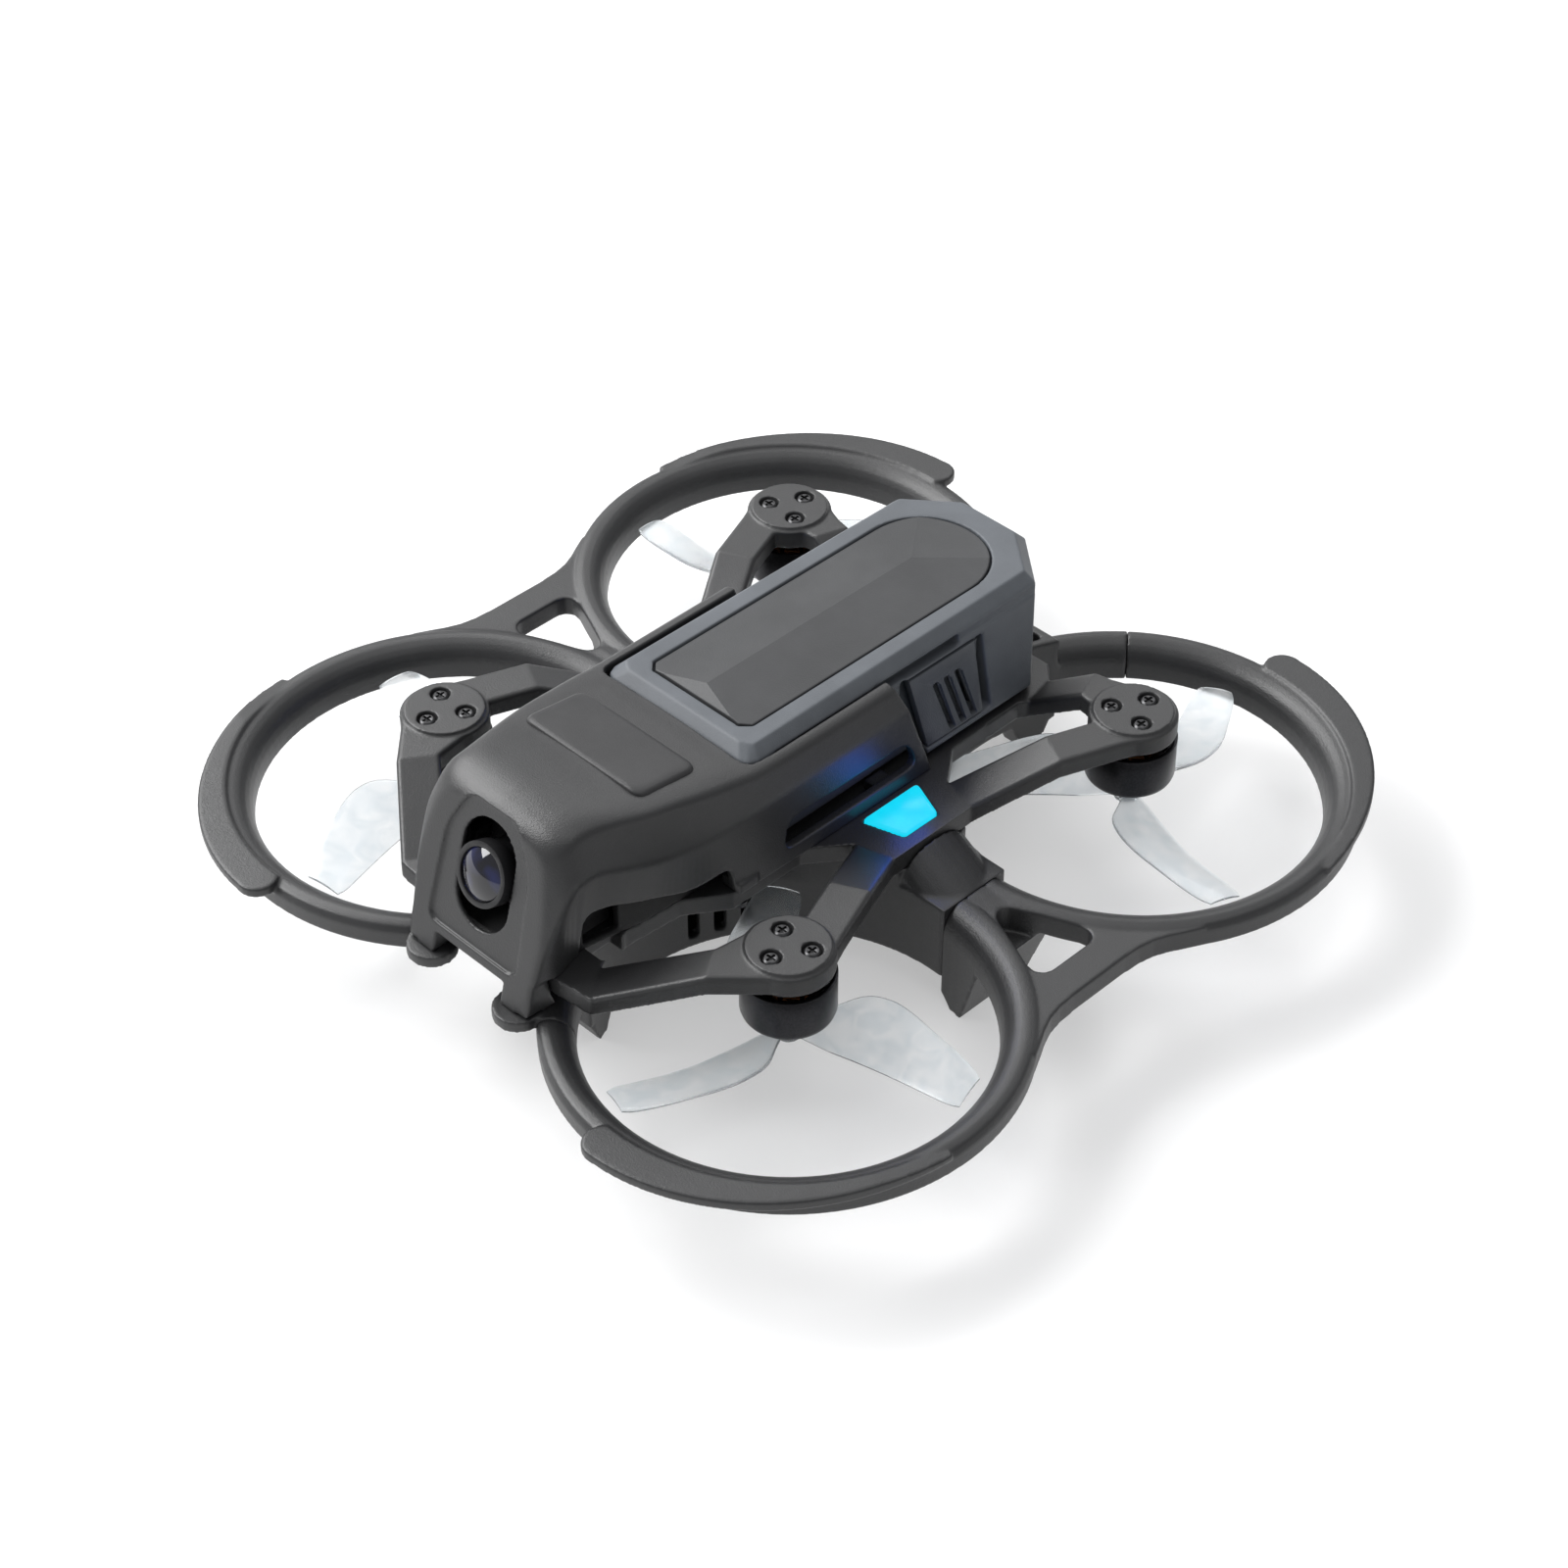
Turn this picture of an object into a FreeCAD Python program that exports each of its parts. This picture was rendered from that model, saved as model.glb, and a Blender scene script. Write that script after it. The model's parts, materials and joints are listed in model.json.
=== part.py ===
import FreeCAD, Part
import math
import os

# A ducted four-rotor drone, in millimetres.  Nose towards -Y, +Z up, origin on the floor below the
# centre of the motor square.  The motors hang under the arms and push air down through the ducts.

Vector = FreeCAD.Vector
Rotation = FreeCAD.Rotation
X_AXIS = Vector(1, 0, 0)
Y_AXIS = Vector(0, 1, 0)
Z_AXIS = Vector(0, 0, 1)

doc = FreeCAD.newDocument("racing_drone")
sheet = doc.addObject("Spreadsheet::Sheet", "Dims")

DIMENSIONS = {
    # motor square and the flat bosses on top of the arms
    "motor_offset": 40.4,
    "boss_top": 33.5,
    "boss_disc_radius": 6.8,
    "boss_disc_rise": 0.6,
    "boss_radius": 7.5,
    "arm_thickness": 3.5,
    "deck_top": 26.5,
    "deck_thickness": 3.5,
    # motor screws, three to a motor
    "screw_circle_radius": 3.77,
    "screw_recess_radius": 1.7,
    "screw_recess_depth": 1.1,
    "screw_head_radius": 1.4,
    "screw_head_height": 0.9,
    "screw_shank_radius": 0.7,
    # ducts
    "throat_radius": 33.1,
    "throat_bottom": 13.2,
    "lip_radius": 37.3,
    "lip_top": 20.1,
    "duct_radius": 39.3,
    "pad_top": 20.7,
    "pad_thickness": 1.8,
    "pad_half_width": 39.6,
    "pad_half_length": 43.4,
    "web_edge": 69.4,
    "web_top": 19.5,
    "web_thickness": 4.0,
    "seam_distance": 42.5,
    # lower chassis
    "tub_bottom": 5.5,
    "tub_wall": 1.8,
    "spine_half_length": 56.0,
    # motor
    "bell_radius": 7.7,
    "bell_bore": 6.95,
    "bell_top": 28.1,
    "bell_bottom": 19.3,
    "bell_floor": 1.3,
    "shaft_radius": 0.75,
    "running_gap": 0.05,
    "stator_radius": 6.0,
    "stator_teeth": 9,
    # propeller
    "hub_radius": 2.2,
    "hub_bottom": 14.5,
    "blade_thickness": 0.7,
    # canopy
    "canopy_wall": 1.5,
    "face_lean": 15.0,
    "face_depth": 66.8,
    "lens_height": 38.5,
    "window_half_width": 6.0,
    "window_straight": 7.8,
    # camera
    "camera_pivot_depth": 56.0,
    "barrel_radius": 5.4,
    "glass_radius": 4.5,
    # battery
    "battery_half_width": 16.8,
    "battery_front": 25.8,
    "battery_rear": 50.0,
    "battery_bottom": 27.6,
    "battery_top": 47.9,
    "battery_shell": 1.4,
    "inlay_half_width": 11.2,
    "inlay_front": 20.9,
    "inlay_centre": 31.8,
    "inlay_gap": 0.35,
    "latch_thickness": 1.3,
    "latch_pin_radius": 0.6,
    # circuit boards
    "board_width": 27.0,
    "board_thickness": 1.2,
    "board_hole_spacing": 21.0,
    "light_board_thickness": 0.8,
}

for row, (alias, amount) in enumerate(DIMENSIONS.items(), start=1):
    sheet.set("A%d" % row, alias)
    sheet.set("B%d" % row, str(amount))
    sheet.setAlias("B%d" % row, alias)
doc.recompute()


def dim(alias):
    """The number in one named cell of the sheet."""
    return float(sheet.get(alias))


nodes = []


def give(node, feature):
    """Name a finished sub-part; its label is its file name."""
    feature.Label = node
    nodes.append(feature)
    return feature


def assign(feature, name, amount):
    """Set a property to a number, or bind it when the amount is an expression."""
    if isinstance(amount, str):
        feature.setExpression(name, amount)
    else:
        setattr(feature, name, amount)


def place(feature, x=0.0, y=0.0, z=0.0, axis=Z_AXIS, angle=0.0):
    feature.Placement = FreeCAD.Placement(Vector(x, y, z), Rotation(axis, angle))
    return feature


def cylinder(name, radius, height, x=0.0, y=0.0, z=0.0, axis=Z_AXIS, angle=0.0):
    feature = doc.addObject("Part::Cylinder", name)
    assign(feature, "Radius", radius)
    assign(feature, "Height", height)
    return place(feature, x, y, z, axis, angle)


def block(name, low, high, axis=Z_AXIS, angle=0.0):
    """A box between two corners, turned about its low corner when an angle is given."""
    feature = doc.addObject("Part::Box", name)
    feature.Length = high[0] - low[0]
    feature.Width = high[1] - low[1]
    feature.Height = high[2] - low[2]
    return place(feature, low[0], low[1], low[2], axis, angle)


def polygon(name, points):
    feature = doc.addObject("Part::Polygon", name)
    feature.Nodes = [Vector(*point) for point in points]
    feature.Close = True
    return feature


def extrude(name, points, direction, length):
    """A closed outline pushed along a direction; the length may be an expression."""
    feature = doc.addObject("Part::Extrusion", name)
    feature.Base = polygon(name + "_outline", points)
    feature.DirMode = "Custom"
    feature.Dir = direction
    feature.Solid = True
    assign(feature, "LengthFwd", length)
    return feature


def prism_z(name, outline, z, height):
    return extrude(name, [(x, y, z) for x, y in outline], Z_AXIS, height)


def prism_y(name, outline, y, length):
    return extrude(name, [(x, y, z) for x, z in outline], Y_AXIS, length)


def prism_x(name, outline, x, length):
    return extrude(name, [(x, y, z) for y, z in outline], X_AXIS, length)


def revolve(name, profile, x, y, angle=360.0, start=0.0):
    """A radius-height outline turned about the vertical axis through x, y."""
    feature = doc.addObject("Part::Revolution", name)
    feature.Source = polygon(name + "_outline", [(radius, 0, height) for radius, height in profile])
    feature.Axis = Z_AXIS
    feature.Base = Vector(0, 0, 0)
    feature.Solid = True
    assign(feature, "Angle", angle)
    return place(feature, x, y, 0.0, Z_AXIS, start)


def loft(name, sections, ruled=True):
    feature = doc.addObject("Part::Loft", name)
    outlines = []
    for index, points in enumerate(sections):
        outlines.append(polygon("%s_section_%d" % (name, index), points))
    feature.Sections = outlines
    feature.Solid = True
    feature.Ruled = ruled
    return feature


def cut(name, base, *tools):
    feature = doc.addObject("Part::Cut", name)
    feature.Base = base
    feature.Tool = tools[0] if len(tools) == 1 else fuse(name + "_tools", *tools)
    return feature


def fuse(name, *pieces):
    feature = doc.addObject("Part::MultiFuse", name)
    feature.Shapes = list(pieces)
    return feature


def common(name, *pieces):
    feature = doc.addObject("Part::MultiCommon", name)
    feature.Shapes = list(pieces)
    return feature


def group(name, *pieces):
    """Separate solids that share one node."""
    feature = doc.addObject("Part::Compound", name)
    feature.Links = list(pieces)
    return feature


def mirror_x(name, source):
    feature = doc.addObject("Part::Mirroring", name)
    feature.Source = source
    feature.Base = Vector(0, 0, 0)
    feature.Normal = X_AXIS
    return feature


def mirror_y(name, source):
    feature = doc.addObject("Part::Mirroring", name)
    feature.Source = source
    feature.Base = Vector(0, 0, 0)
    feature.Normal = Y_AXIS
    return feature


def round_edges(name, base, radius, chosen):
    """Fillet the edges of base that the test picks."""
    doc.recompute()
    feature = doc.addObject("Part::Fillet", name)
    feature.Base = base
    picked = [index for index, edge in enumerate(base.Shape.Edges, start=1) if chosen(edge)]
    feature.Edges = [(index, radius, radius) for index in picked]
    return feature


def is_vertical(edge):
    low = edge.Vertexes[0].Point
    high = edge.Vertexes[-1].Point
    return math.hypot(low.x - high.x, low.y - high.y) < 0.01 and abs(low.z - high.z) > 0.2


def arc_points(centre, radius, first, last, count, squash=1.0):
    """Points on an arc, angles in degrees; squash scales the second axis."""
    points = []
    for step in range(count + 1):
        angle = math.radians(first + (last - first) * step / count)
        points.append((centre[0] + radius * math.cos(angle),
                       centre[1] + radius * squash * math.sin(angle)))
    return points


def both_sides(half_outline):
    """A section drawn on +X, closed by its mirror image; the first and last points lie at x = 0."""
    mirrored = [(-x, y, z) for x, y, z in reversed(half_outline) if x > 0.001]
    return half_outline + mirrored


motor_offset = dim("motor_offset")
boss_top = dim("boss_top")
deck_top = dim("deck_top")
deck_bottom = deck_top - dim("deck_thickness")
arm_top = boss_top - dim("boss_disc_rise")
arm_bottom = arm_top - dim("arm_thickness")

# Each motor: name, side of X, side of Y, the way it turns, the angle of its first blade's straight edge.
# The nose points to -Y, so the left-hand side of the drone is +X.
MOTORS = [
    ("front_right", -1, -1, -1, -76.5),
    ("front_left", 1, -1, 1, 11.4),
    ("rear_left", 1, 1, -1, -13.0),
    ("rear_right", -1, 1, 1, -174.6),
]


# ---------------------------------------------------------------- ducts and lower chassis

throat = dim("throat_radius")
lip = dim("lip_radius")
lip_top = dim("lip_top")
throat_bottom = dim("throat_bottom")
duct_radius = dim("duct_radius")
tub_bottom = dim("tub_bottom")
seam = dim("seam_distance")


def mouth_curve():
    """Quarter ellipse from the straight throat up to the lip, radius against height."""
    start = 15.2
    curve = []
    for step in range(7):
        angle = math.radians(15.0 * step)
        curve.append((lip - (lip - throat) * math.cos(angle),
                      start + (lip_top - start) * math.sin(angle)))
    return curve


def duct_profile():
    """Bell-mouth wall of one duct, radius against height."""
    outside = [(38.6, lip_top - 0.35), (duct_radius, lip_top - 1.5), (duct_radius - 0.1, 15.6),
               (34.9, throat_bottom)]
    return [(throat, throat_bottom)] + mouth_curve() + outside


def duct_arc(name, x_side, y_side, first, last):
    """Part of the ring of the +X, +Y duct between two angles, moved to any corner by mirroring."""
    ring = revolve(name, duct_profile(), motor_offset, motor_offset, last - first, first)
    if x_side < 0:
        ring = mirror_x(name + "_x", ring)
    if y_side < 0:
        ring = mirror_y(name + "_y", ring)
    return ring


INBOARD_SEAM = 131.0      # where a ring meets the nose or tail, from the +X axis
SADDLE_SEAM = -88.0       # where a ring meets the saddle between the two ducts of one side


def bumper_pad(name):
    """Flat raised pad along the outer corner of the +X, +Y duct, with a rounded tongue at its end."""
    pad_low = dim("pad_top") - dim("pad_thickness")
    half_width = dim("pad_half_width")
    half_length = dim("pad_half_length")
    outer = arc_points((motor_offset, motor_offset), half_width, 6.0, 88.0, 28, half_length / half_width)
    inner_radius = lip - 0.7
    inner = arc_points((motor_offset, motor_offset), inner_radius, 88.0, 6.0, 28)
    band = prism_z(name + "_band", outer + inner, pad_low, "Dims.pad_thickness")
    run_out = prism_x(name + "_run_out", [(40.0, lip_top - 0.5), (58.0, dim("pad_top") + 0.05),
                                          (58.0, 24.0), (40.0, 24.0)], 66.0, 20.0)
    sheet_part = cut(name + "_faded", band, run_out)
    tongue_radius = (half_length - inner_radius) / 2.0
    tongue_middle = inner_radius + tongue_radius
    angle = math.radians(88.5)
    tongue = cylinder(name + "_tongue", tongue_radius, "Dims.pad_thickness",
                      motor_offset + tongue_middle * math.cos(angle),
                      motor_offset + tongue_middle * math.sin(angle), pad_low)
    return fuse(name, sheet_part, tongue)


def duct_pair(node, side):
    """Two duct rings joined by a windowed side web, with pads and a foot."""
    rings = []
    for y_side, place_name in ((-1, "front"), (1, "rear")):
        rings.append(duct_arc("%s_%s_ring" % (node, place_name), 1, y_side, SADDLE_SEAM, INBOARD_SEAM))
    pad = bumper_pad(node + "_rear_pad")
    front_pad = mirror_y(node + "_front_pad", pad)
    web_low = dim("web_top") - dim("web_thickness")
    edge = dim("web_edge")
    web_half = [(0.0, edge), (6.0, edge), (9.4, edge + 0.2), (12.4, edge + 0.8), (15.0, edge + 1.9),
                (17.4, edge + 3.2), (20.3, edge + 4.7), (12.0, seam)]
    web_outline = [(x, y) for y, x in web_half] + [(x, -y) for y, x in reversed(web_half[1:])]
    web = prism_z(node + "_web_plate", web_outline, web_low, "Dims.web_thickness")
    window_half = [(63.2, 4.2), (62.7, 5.7), (61.5, 6.5), (59.8, 6.4), (49.9, 2.2), (48.7, 1.5),
                   (48.1, 0.6)]
    window_outline = window_half + [(x, -y) for x, y in reversed(window_half)]
    window = prism_z(node + "_window_hole", window_outline, web_low - 1.0, 8.0)
    foot = prism_y(node + "_foot_wedge", [(seam, 2.5), (44.6, 0.0), (47.4, 0.0), (51.6, 12.8),
                                          (53.5, 15.5), (seam, 15.5)], -9.0, 18.0)
    neck = loft(node + "_neck", [neck_section(seam, 20.1), neck_section(47.5, 19.6)])
    bores = []
    for y_side, place_name in ((-1, "front"), (1, "rear")):
        bores.append(cylinder("%s_%s_bore" % (node, place_name), throat, 60.0,
                              motor_offset, y_side * motor_offset, -5.0))
        bores.append(mouth_cutter("%s_%s_mouth" % (node, place_name), y_side))
    solid = fuse(node + "_joined", *rings, pad, front_pad, web, foot, neck)
    shape = cut(node + "_bored", solid, window, *bores)
    trimmed = common(node + "_trimmed", shape, block(node + "_keep", (seam - 60.0, -95, -1),
                                                     (90, 95, 60)))
    slab = block(node + "_saddle_side", (-20, -14, -1), (seam, 14, 60))
    outboard = cut(node + "_outboard", trimmed, slab)
    if side > 0:
        return give(node, outboard)
    return give(node, mirror_x(node + "_mirrored", outboard))


def neck_section(x, top):
    """Arched section of the saddle between two ducts."""
    half = 7.6
    rise = 5.2
    section = [(x, -half, throat_bottom), (x, half, throat_bottom)]
    for step in range(13):
        angle = math.radians(15.0 * step)
        section.append((x, half * math.cos(angle), top - rise + rise * math.sin(angle)))
    return section


def mouth_cutter(name, y_side):
    """The air inside the bell mouth, used to keep webs and saddles out of it."""
    curve = mouth_curve()
    profile = [(0.0, curve[0][1])] + curve + [(lip, 24.0), (0.0, 24.0)]
    return revolve(name, profile, motor_offset, y_side * motor_offset)


duct_pair("duct_pair_left", 1)
duct_pair("duct_pair_right", -1)


def lower_chassis():
    """Open tub between the four ducts, with the inboard duct walls, saddles and end feet."""
    wall = dim("tub_wall")
    half_length = dim("spine_half_length")
    outside = block("chassis_outside", (-seam, -half_length, tub_bottom),
                    (seam, half_length, deck_bottom))
    inside = block("chassis_inside", (-33.0, -half_length + wall, tub_bottom + wall),
                   (33.0, half_length - wall, deck_bottom + 5.0))
    bores = []
    liners = []
    arcs = []
    for label, x_side, y_side, turn, blade in MOTORS:
        bores.append(cylinder("chassis_bore_" + label, throat, 60.0,
                              x_side * motor_offset, y_side * motor_offset, -5.0))
        liners.append(cylinder("chassis_liner_" + label, "Dims.throat_radius + Dims.tub_wall", 60.0,
                               x_side * motor_offset, y_side * motor_offset, -5.0))
        arcs.append(duct_arc("chassis_arc_" + label, x_side, y_side, INBOARD_SEAM, 360.0 + SADDLE_SEAM))
    cavity = cut("chassis_cavity", inside, *liners)
    tub = cut("chassis_tub", outside, cavity)
    shoulder = block("chassis_shoulder", (33.0, -14.0, lip_top), (seam + 1.0, 14.0, deck_bottom + 1.0))
    low_tub = cut("chassis_low_tub", tub, shoulder, mirror_x("chassis_shoulder_left", shoulder))
    ramp = loft("chassis_saddle", [neck_section(33.2, 25.6), neck_section(seam, 20.1)])
    ramp_left = mirror_x("chassis_saddle_left", ramp)
    feet = []
    for label, x_side, y_side, turn, blade in MOTORS:
        wedge = prism_x("chassis_foot_" + label, [(y_side * 47.6, tub_bottom + 1.0), (y_side * 50.4, 0.0),
                                                  (y_side * 52.8, 0.0), (y_side * 56.0,
                                                                         tub_bottom + 1.0)],
                        4.0 if x_side > 0 else -10.5, 6.5)
        feet.append(wedge)
    for side in (-1, 1):
        feet.append(cylinder("chassis_landing_%d" % (side + 1), 4.2, 6.1, side * 10.3, -69.8,
                             throat_bottom + 0.8))
    floor = tub_bottom + wall
    posts = []
    openings = []
    for x_side in (-1, 1):
        for y_side in (-1, 1):
            corner = dim("board_hole_spacing") / 2.0
            name = "%d_%d" % (x_side + 1, y_side + 1)
            post = cylinder("chassis_post_" + name, 2.0, 9.0 - floor, x_side * corner, y_side * corner,
                            floor)
            drill = cylinder("chassis_post_hole_" + name, "Dims.screw_shank_radius", 9.0, x_side * corner,
                             y_side * corner, floor - 0.6)
            posts.append(post)
            openings.append(drill)
            screw_y = 50.0 if y_side < 0 else 42.5
            seat = cylinder("chassis_seat_" + name, 2.1, deck_bottom - 13.0, x_side * 3.4,
                            y_side * screw_y, 13.0)
            posts.append(seat)
            openings.append(cylinder("chassis_seat_hole_" + name, "Dims.screw_shank_radius", 6.0,
                                     x_side * 3.4, y_side * screw_y, deck_bottom - 5.0))
            for index, angle in enumerate((162.8, 154.8, 146.8)):
                vent = block("chassis_vent_%s_%d" % (name, index), (0.0, -1.0, 7.4), (6.0, 1.0, 16.6))
                turned = math.radians(angle)
                start = throat - 2.0
                direction = Rotation(Z_AXIS, angle)
                offset = direction.multVec(Vector(0.0, -1.0, 0.0))
                vent.Placement = FreeCAD.Placement(Vector(motor_offset + start * math.cos(turned)
                                                          + offset.x,
                                                          -motor_offset + start * math.sin(turned)
                                                          + offset.y, 7.4), direction)
                if x_side < 0:
                    vent = mirror_x("chassis_vent_%s_%d_x" % (name, index), vent)
                if y_side > 0:
                    vent = mirror_y("chassis_vent_%s_%d_y" % (name, index), vent)
                openings.append(vent)
    openings.append(block("chassis_usb_hole", (-4.7, 54.0, floor - 0.1), (4.7, 57.0, floor + 3.5)))
    solid = fuse("chassis_joined", low_tub, ramp, ramp_left, *arcs, *feet, *posts)
    belly = prism_z("chassis_belly_opening", [(-9, -5), (-5, -9), (5, -9), (9, -5), (9, 5), (5, 9),
                                              (-5, 9), (-9, 5)], tub_bottom - 1.0, wall + 2.0)
    return give("lower_chassis", cut("chassis_finished", solid, belly, *openings, *bores))


lower_chassis()


# ---------------------------------------------------------------- motor frame

def arm_section(outer, inner, top):
    """Four-sided arm section with a fine bevel along both top edges; outer and inner are plan points."""
    bevel = 0.5
    bottom = top - dim("arm_thickness")
    run = math.hypot(inner[0] - outer[0], inner[1] - outer[1])
    step_x = (inner[0] - outer[0]) / run * bevel
    step_y = (inner[1] - outer[1]) / run * bevel
    return [(outer[0], outer[1], bottom), (outer[0], outer[1], top - bevel),
            (outer[0] + step_x, outer[1] + step_y, top), (inner[0] - step_x, inner[1] - step_y, top),
            (inner[0], inner[1], top - bevel), (inner[0], inner[1], bottom)]


def arm(name, stations):
    return loft(name, [arm_section(outer, inner, top) for outer, inner, top in stations])


def motor_frame():
    """Deck, eight arms and four motor bosses in one moulding."""
    front = -66.0
    rear = 46.0
    half_outline = [(16.0, front), (22.5, -65.4), (18.1, -59.2), (15.0, -51.0), (15.9, -40.0),
                    (20.6, -33.0), (20.6, -18.0), (25.9, -11.0), (33.0, -9.0), (33.0, 9.0), (25.9, 11.0),
                    (20.6, 18.0), (20.4, 34.5), (21.3, 36.0), (19.8, 43.0), (17.0, rear)]
    outline = half_outline + [(-x, y) for x, y in reversed(half_outline)]
    deck = prism_z("frame_deck", outline, deck_bottom, "Dims.deck_thickness")
    side_arm = arm("frame_arm_side", [((47.4, -38.9), (33.4, -41.7), arm_top),
                                      ((44.6, -32.6), (37.0, -33.4), arm_top),
                                      ((40.6, -22.2), (34.0, -25.5), arm_top),
                                      ((33.0, -9.0), (25.9, -11.0), deck_top)])
    front_arm = arm("frame_arm_front", [((46.8, -43.9), (33.9, -36.9), arm_top),
                                        ((36.4, -54.2), (32.4, -48.2), arm_top),
                                        ((22.5, -65.4), (18.1, -59.2), deck_top)])
    rear_arm = arm("frame_arm_rear", [((40.4, 47.7), (40.4, 33.1), arm_top),
                                      ((32.0, 44.6), (33.2, 37.2), arm_top),
                                      ((29.1, 44.0), (31.3, 37.5), arm_top),
                                      ((19.8, 43.0), (21.3, 36.0), deck_top)])
    side_arm_rear = mirror_y("frame_arm_side_rear", side_arm)
    arms = [side_arm, front_arm, rear_arm, side_arm_rear]
    arms += [mirror_x(piece.Name + "_right", piece) for piece in arms]
    bosses = []
    holes = []
    for label, x_side, y_side, turn, blade in MOTORS:
        x = x_side * motor_offset
        y = y_side * motor_offset
        bosses.append(cylinder("frame_boss_" + label, "Dims.boss_radius", "Dims.arm_thickness", x, y,
                               arm_bottom))
        bosses.append(cylinder("frame_disc_" + label, "Dims.boss_disc_radius", "Dims.boss_disc_rise", x,
                               y, arm_top))
        for index, (sx, sy) in enumerate(screw_places(x, y, y_side)):
            holes.append(cylinder("frame_recess_%s_%d" % (label, index), "Dims.screw_recess_radius",
                                  "Dims.screw_recess_depth + 1", sx, sy,
                                  boss_top - dim("screw_recess_depth")))
            holes.append(cylinder("frame_hole_%s_%d" % (label, index), "Dims.screw_shank_radius + 0.05",
                                  10.0, sx, sy, arm_bottom - 2.0))
    rails = [block("frame_rail_left", (10.0, -21.0, deck_top), (12.0, rear, dim("battery_bottom") - 0.1)),
             block("frame_rail_right", (-12.0, -21.0, deck_top),
                   (-10.0, rear, dim("battery_bottom") - 0.1))]
    windows = [prism_z("frame_window_middle", [(-9.0, -12.0), (9.0, -12.0), (9.0, 12.0), (-9.0, 12.0)],
                       20.0, 10.0), prism_z("frame_window_rear",
                                            [(-5.0, 24.0), (5.0, 24.0), (5.0, 38.0), (-5.0, 38.0)], 20.0,
                                            10.0), prism_z("frame_window_front",
                                                           [(-6.0, -44.0), (6.0, -44.0), (6.0, -34.0),
                                                            (-6.0, -34.0)], 20.0, 10.0)]
    for side in (1, -1):
        windows.append(prism_z("frame_light_window_%d" % (side + 1), light_outline(side, 0.0), 20.0,
                               10.0))
        notch_low, notch_high = sorted((side * 12.4, side * 17.4))
        windows.append(block("frame_notch_%d" % (side + 1), (notch_low, -58.2, 20.0),
                             (notch_high, -52.2, 30.0)))
        for index, y in enumerate(CANOPY_TABS):
            windows.append(cylinder("frame_tab_hole_%d_%d" % (side + 1, index),
                                    "Dims.screw_shank_radius + 0.05", 10.0, side * TAB_X, y, 20.0))
        for index, y in enumerate(CHASSIS_SCREWS):
            windows.append(cylinder("frame_bolt_hole_%d_%d" % (side + 1, index),
                                    "Dims.screw_shank_radius + 0.05", 10.0, side * 3.4, y, 20.0))
            windows.append(cylinder("frame_bolt_recess_%d_%d" % (side + 1, index), 1.7, 3.0, side * 3.4,
                                    y, deck_top - 1.1))
    solid = fuse("frame_joined", deck, *arms, *bosses, *rails)
    return give("motor_frame", cut("frame_finished", solid, *windows, *holes))


TAB_X = 19.3                      # screws that hold the canopy down
CANOPY_TABS = (-30.5, 2.0)
CHASSIS_SCREWS = (-50.0, 42.5)    # screws between the motor frame and the lower chassis


def screw_places(x, y, y_side):
    """Plan positions of the three screws of one motor."""
    places = []
    for angle in (150.0, 30.0, -90.0):
        turned = math.radians(angle if y_side < 0 else angle + 180.0)
        places.append((x + dim("screw_circle_radius") * math.cos(turned),
                       y + dim("screw_circle_radius") * math.sin(turned)))
    return places


def light_outline(side, inset):
    """Plan outline of a light guide, narrower towards the outside."""
    points = [(22.9 + inset, -6.2 + inset * 1.2), (30.5 - inset, -3.9 + inset * 0.6),
              (30.5 - inset, 3.9 - inset * 0.6), (22.9 + inset, 7.0 - inset * 1.2)]
    return [(side * x, y) for x, y in points]


motor_frame()


def light_guide(node, side):
    """Clear wedge over the lamps of one side, standing a little proud of the deck."""
    low = deck_bottom + 1.0
    high = deck_top + 0.6
    lower = [(x, y, low) for x, y in light_outline(side, 0.0)]
    shoulder = [(x, y, high - 0.4) for x, y in light_outline(side, 0.0)]
    top = [(x, y, high) for x, y in light_outline(side, 0.5)]
    return give(node, loft(node + "_wedge", [lower, shoulder, top]))


def light_board(node, side):
    """Small board below the deck with three lamps."""
    thickness = dim("light_board_thickness")
    low = deck_bottom - thickness
    x_low, x_high = sorted((side * 22.4, side * 30.8))
    board = block(node + "_board", (x_low, -6.0, low), (x_high, 6.6, deck_bottom))
    lamps = []
    for index, x in enumerate((24.6, 26.8, 29.0)):
        x_low, x_high = sorted((side * (x - 0.8), side * (x + 0.8)))
        lamps.append(block("%s_lamp_%d" % (node, index), (x_low, -0.8, deck_bottom),
                           (x_high, 0.8, deck_bottom + 0.7)))
    return give(node, fuse(node + "_finished", board, *lamps))


for side, place_name in ((1, "left"), (-1, "right")):
    light_guide("light_guide_" + place_name, side)
    light_board("light_board_" + place_name, side)


# ---------------------------------------------------------------- canopy

FACE_TAN = math.tan(math.radians(dim("face_lean")))
FACE_UP = Vector(0, math.sin(math.radians(dim("face_lean"))), math.cos(math.radians(dim("face_lean"))))
FACE_OUT = Vector(0, -math.cos(math.radians(dim("face_lean"))), math.sin(math.radians(dim("face_lean"))))
FACE_CENTRE = Vector(0, -dim("face_depth"), dim("lens_height"))

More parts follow.
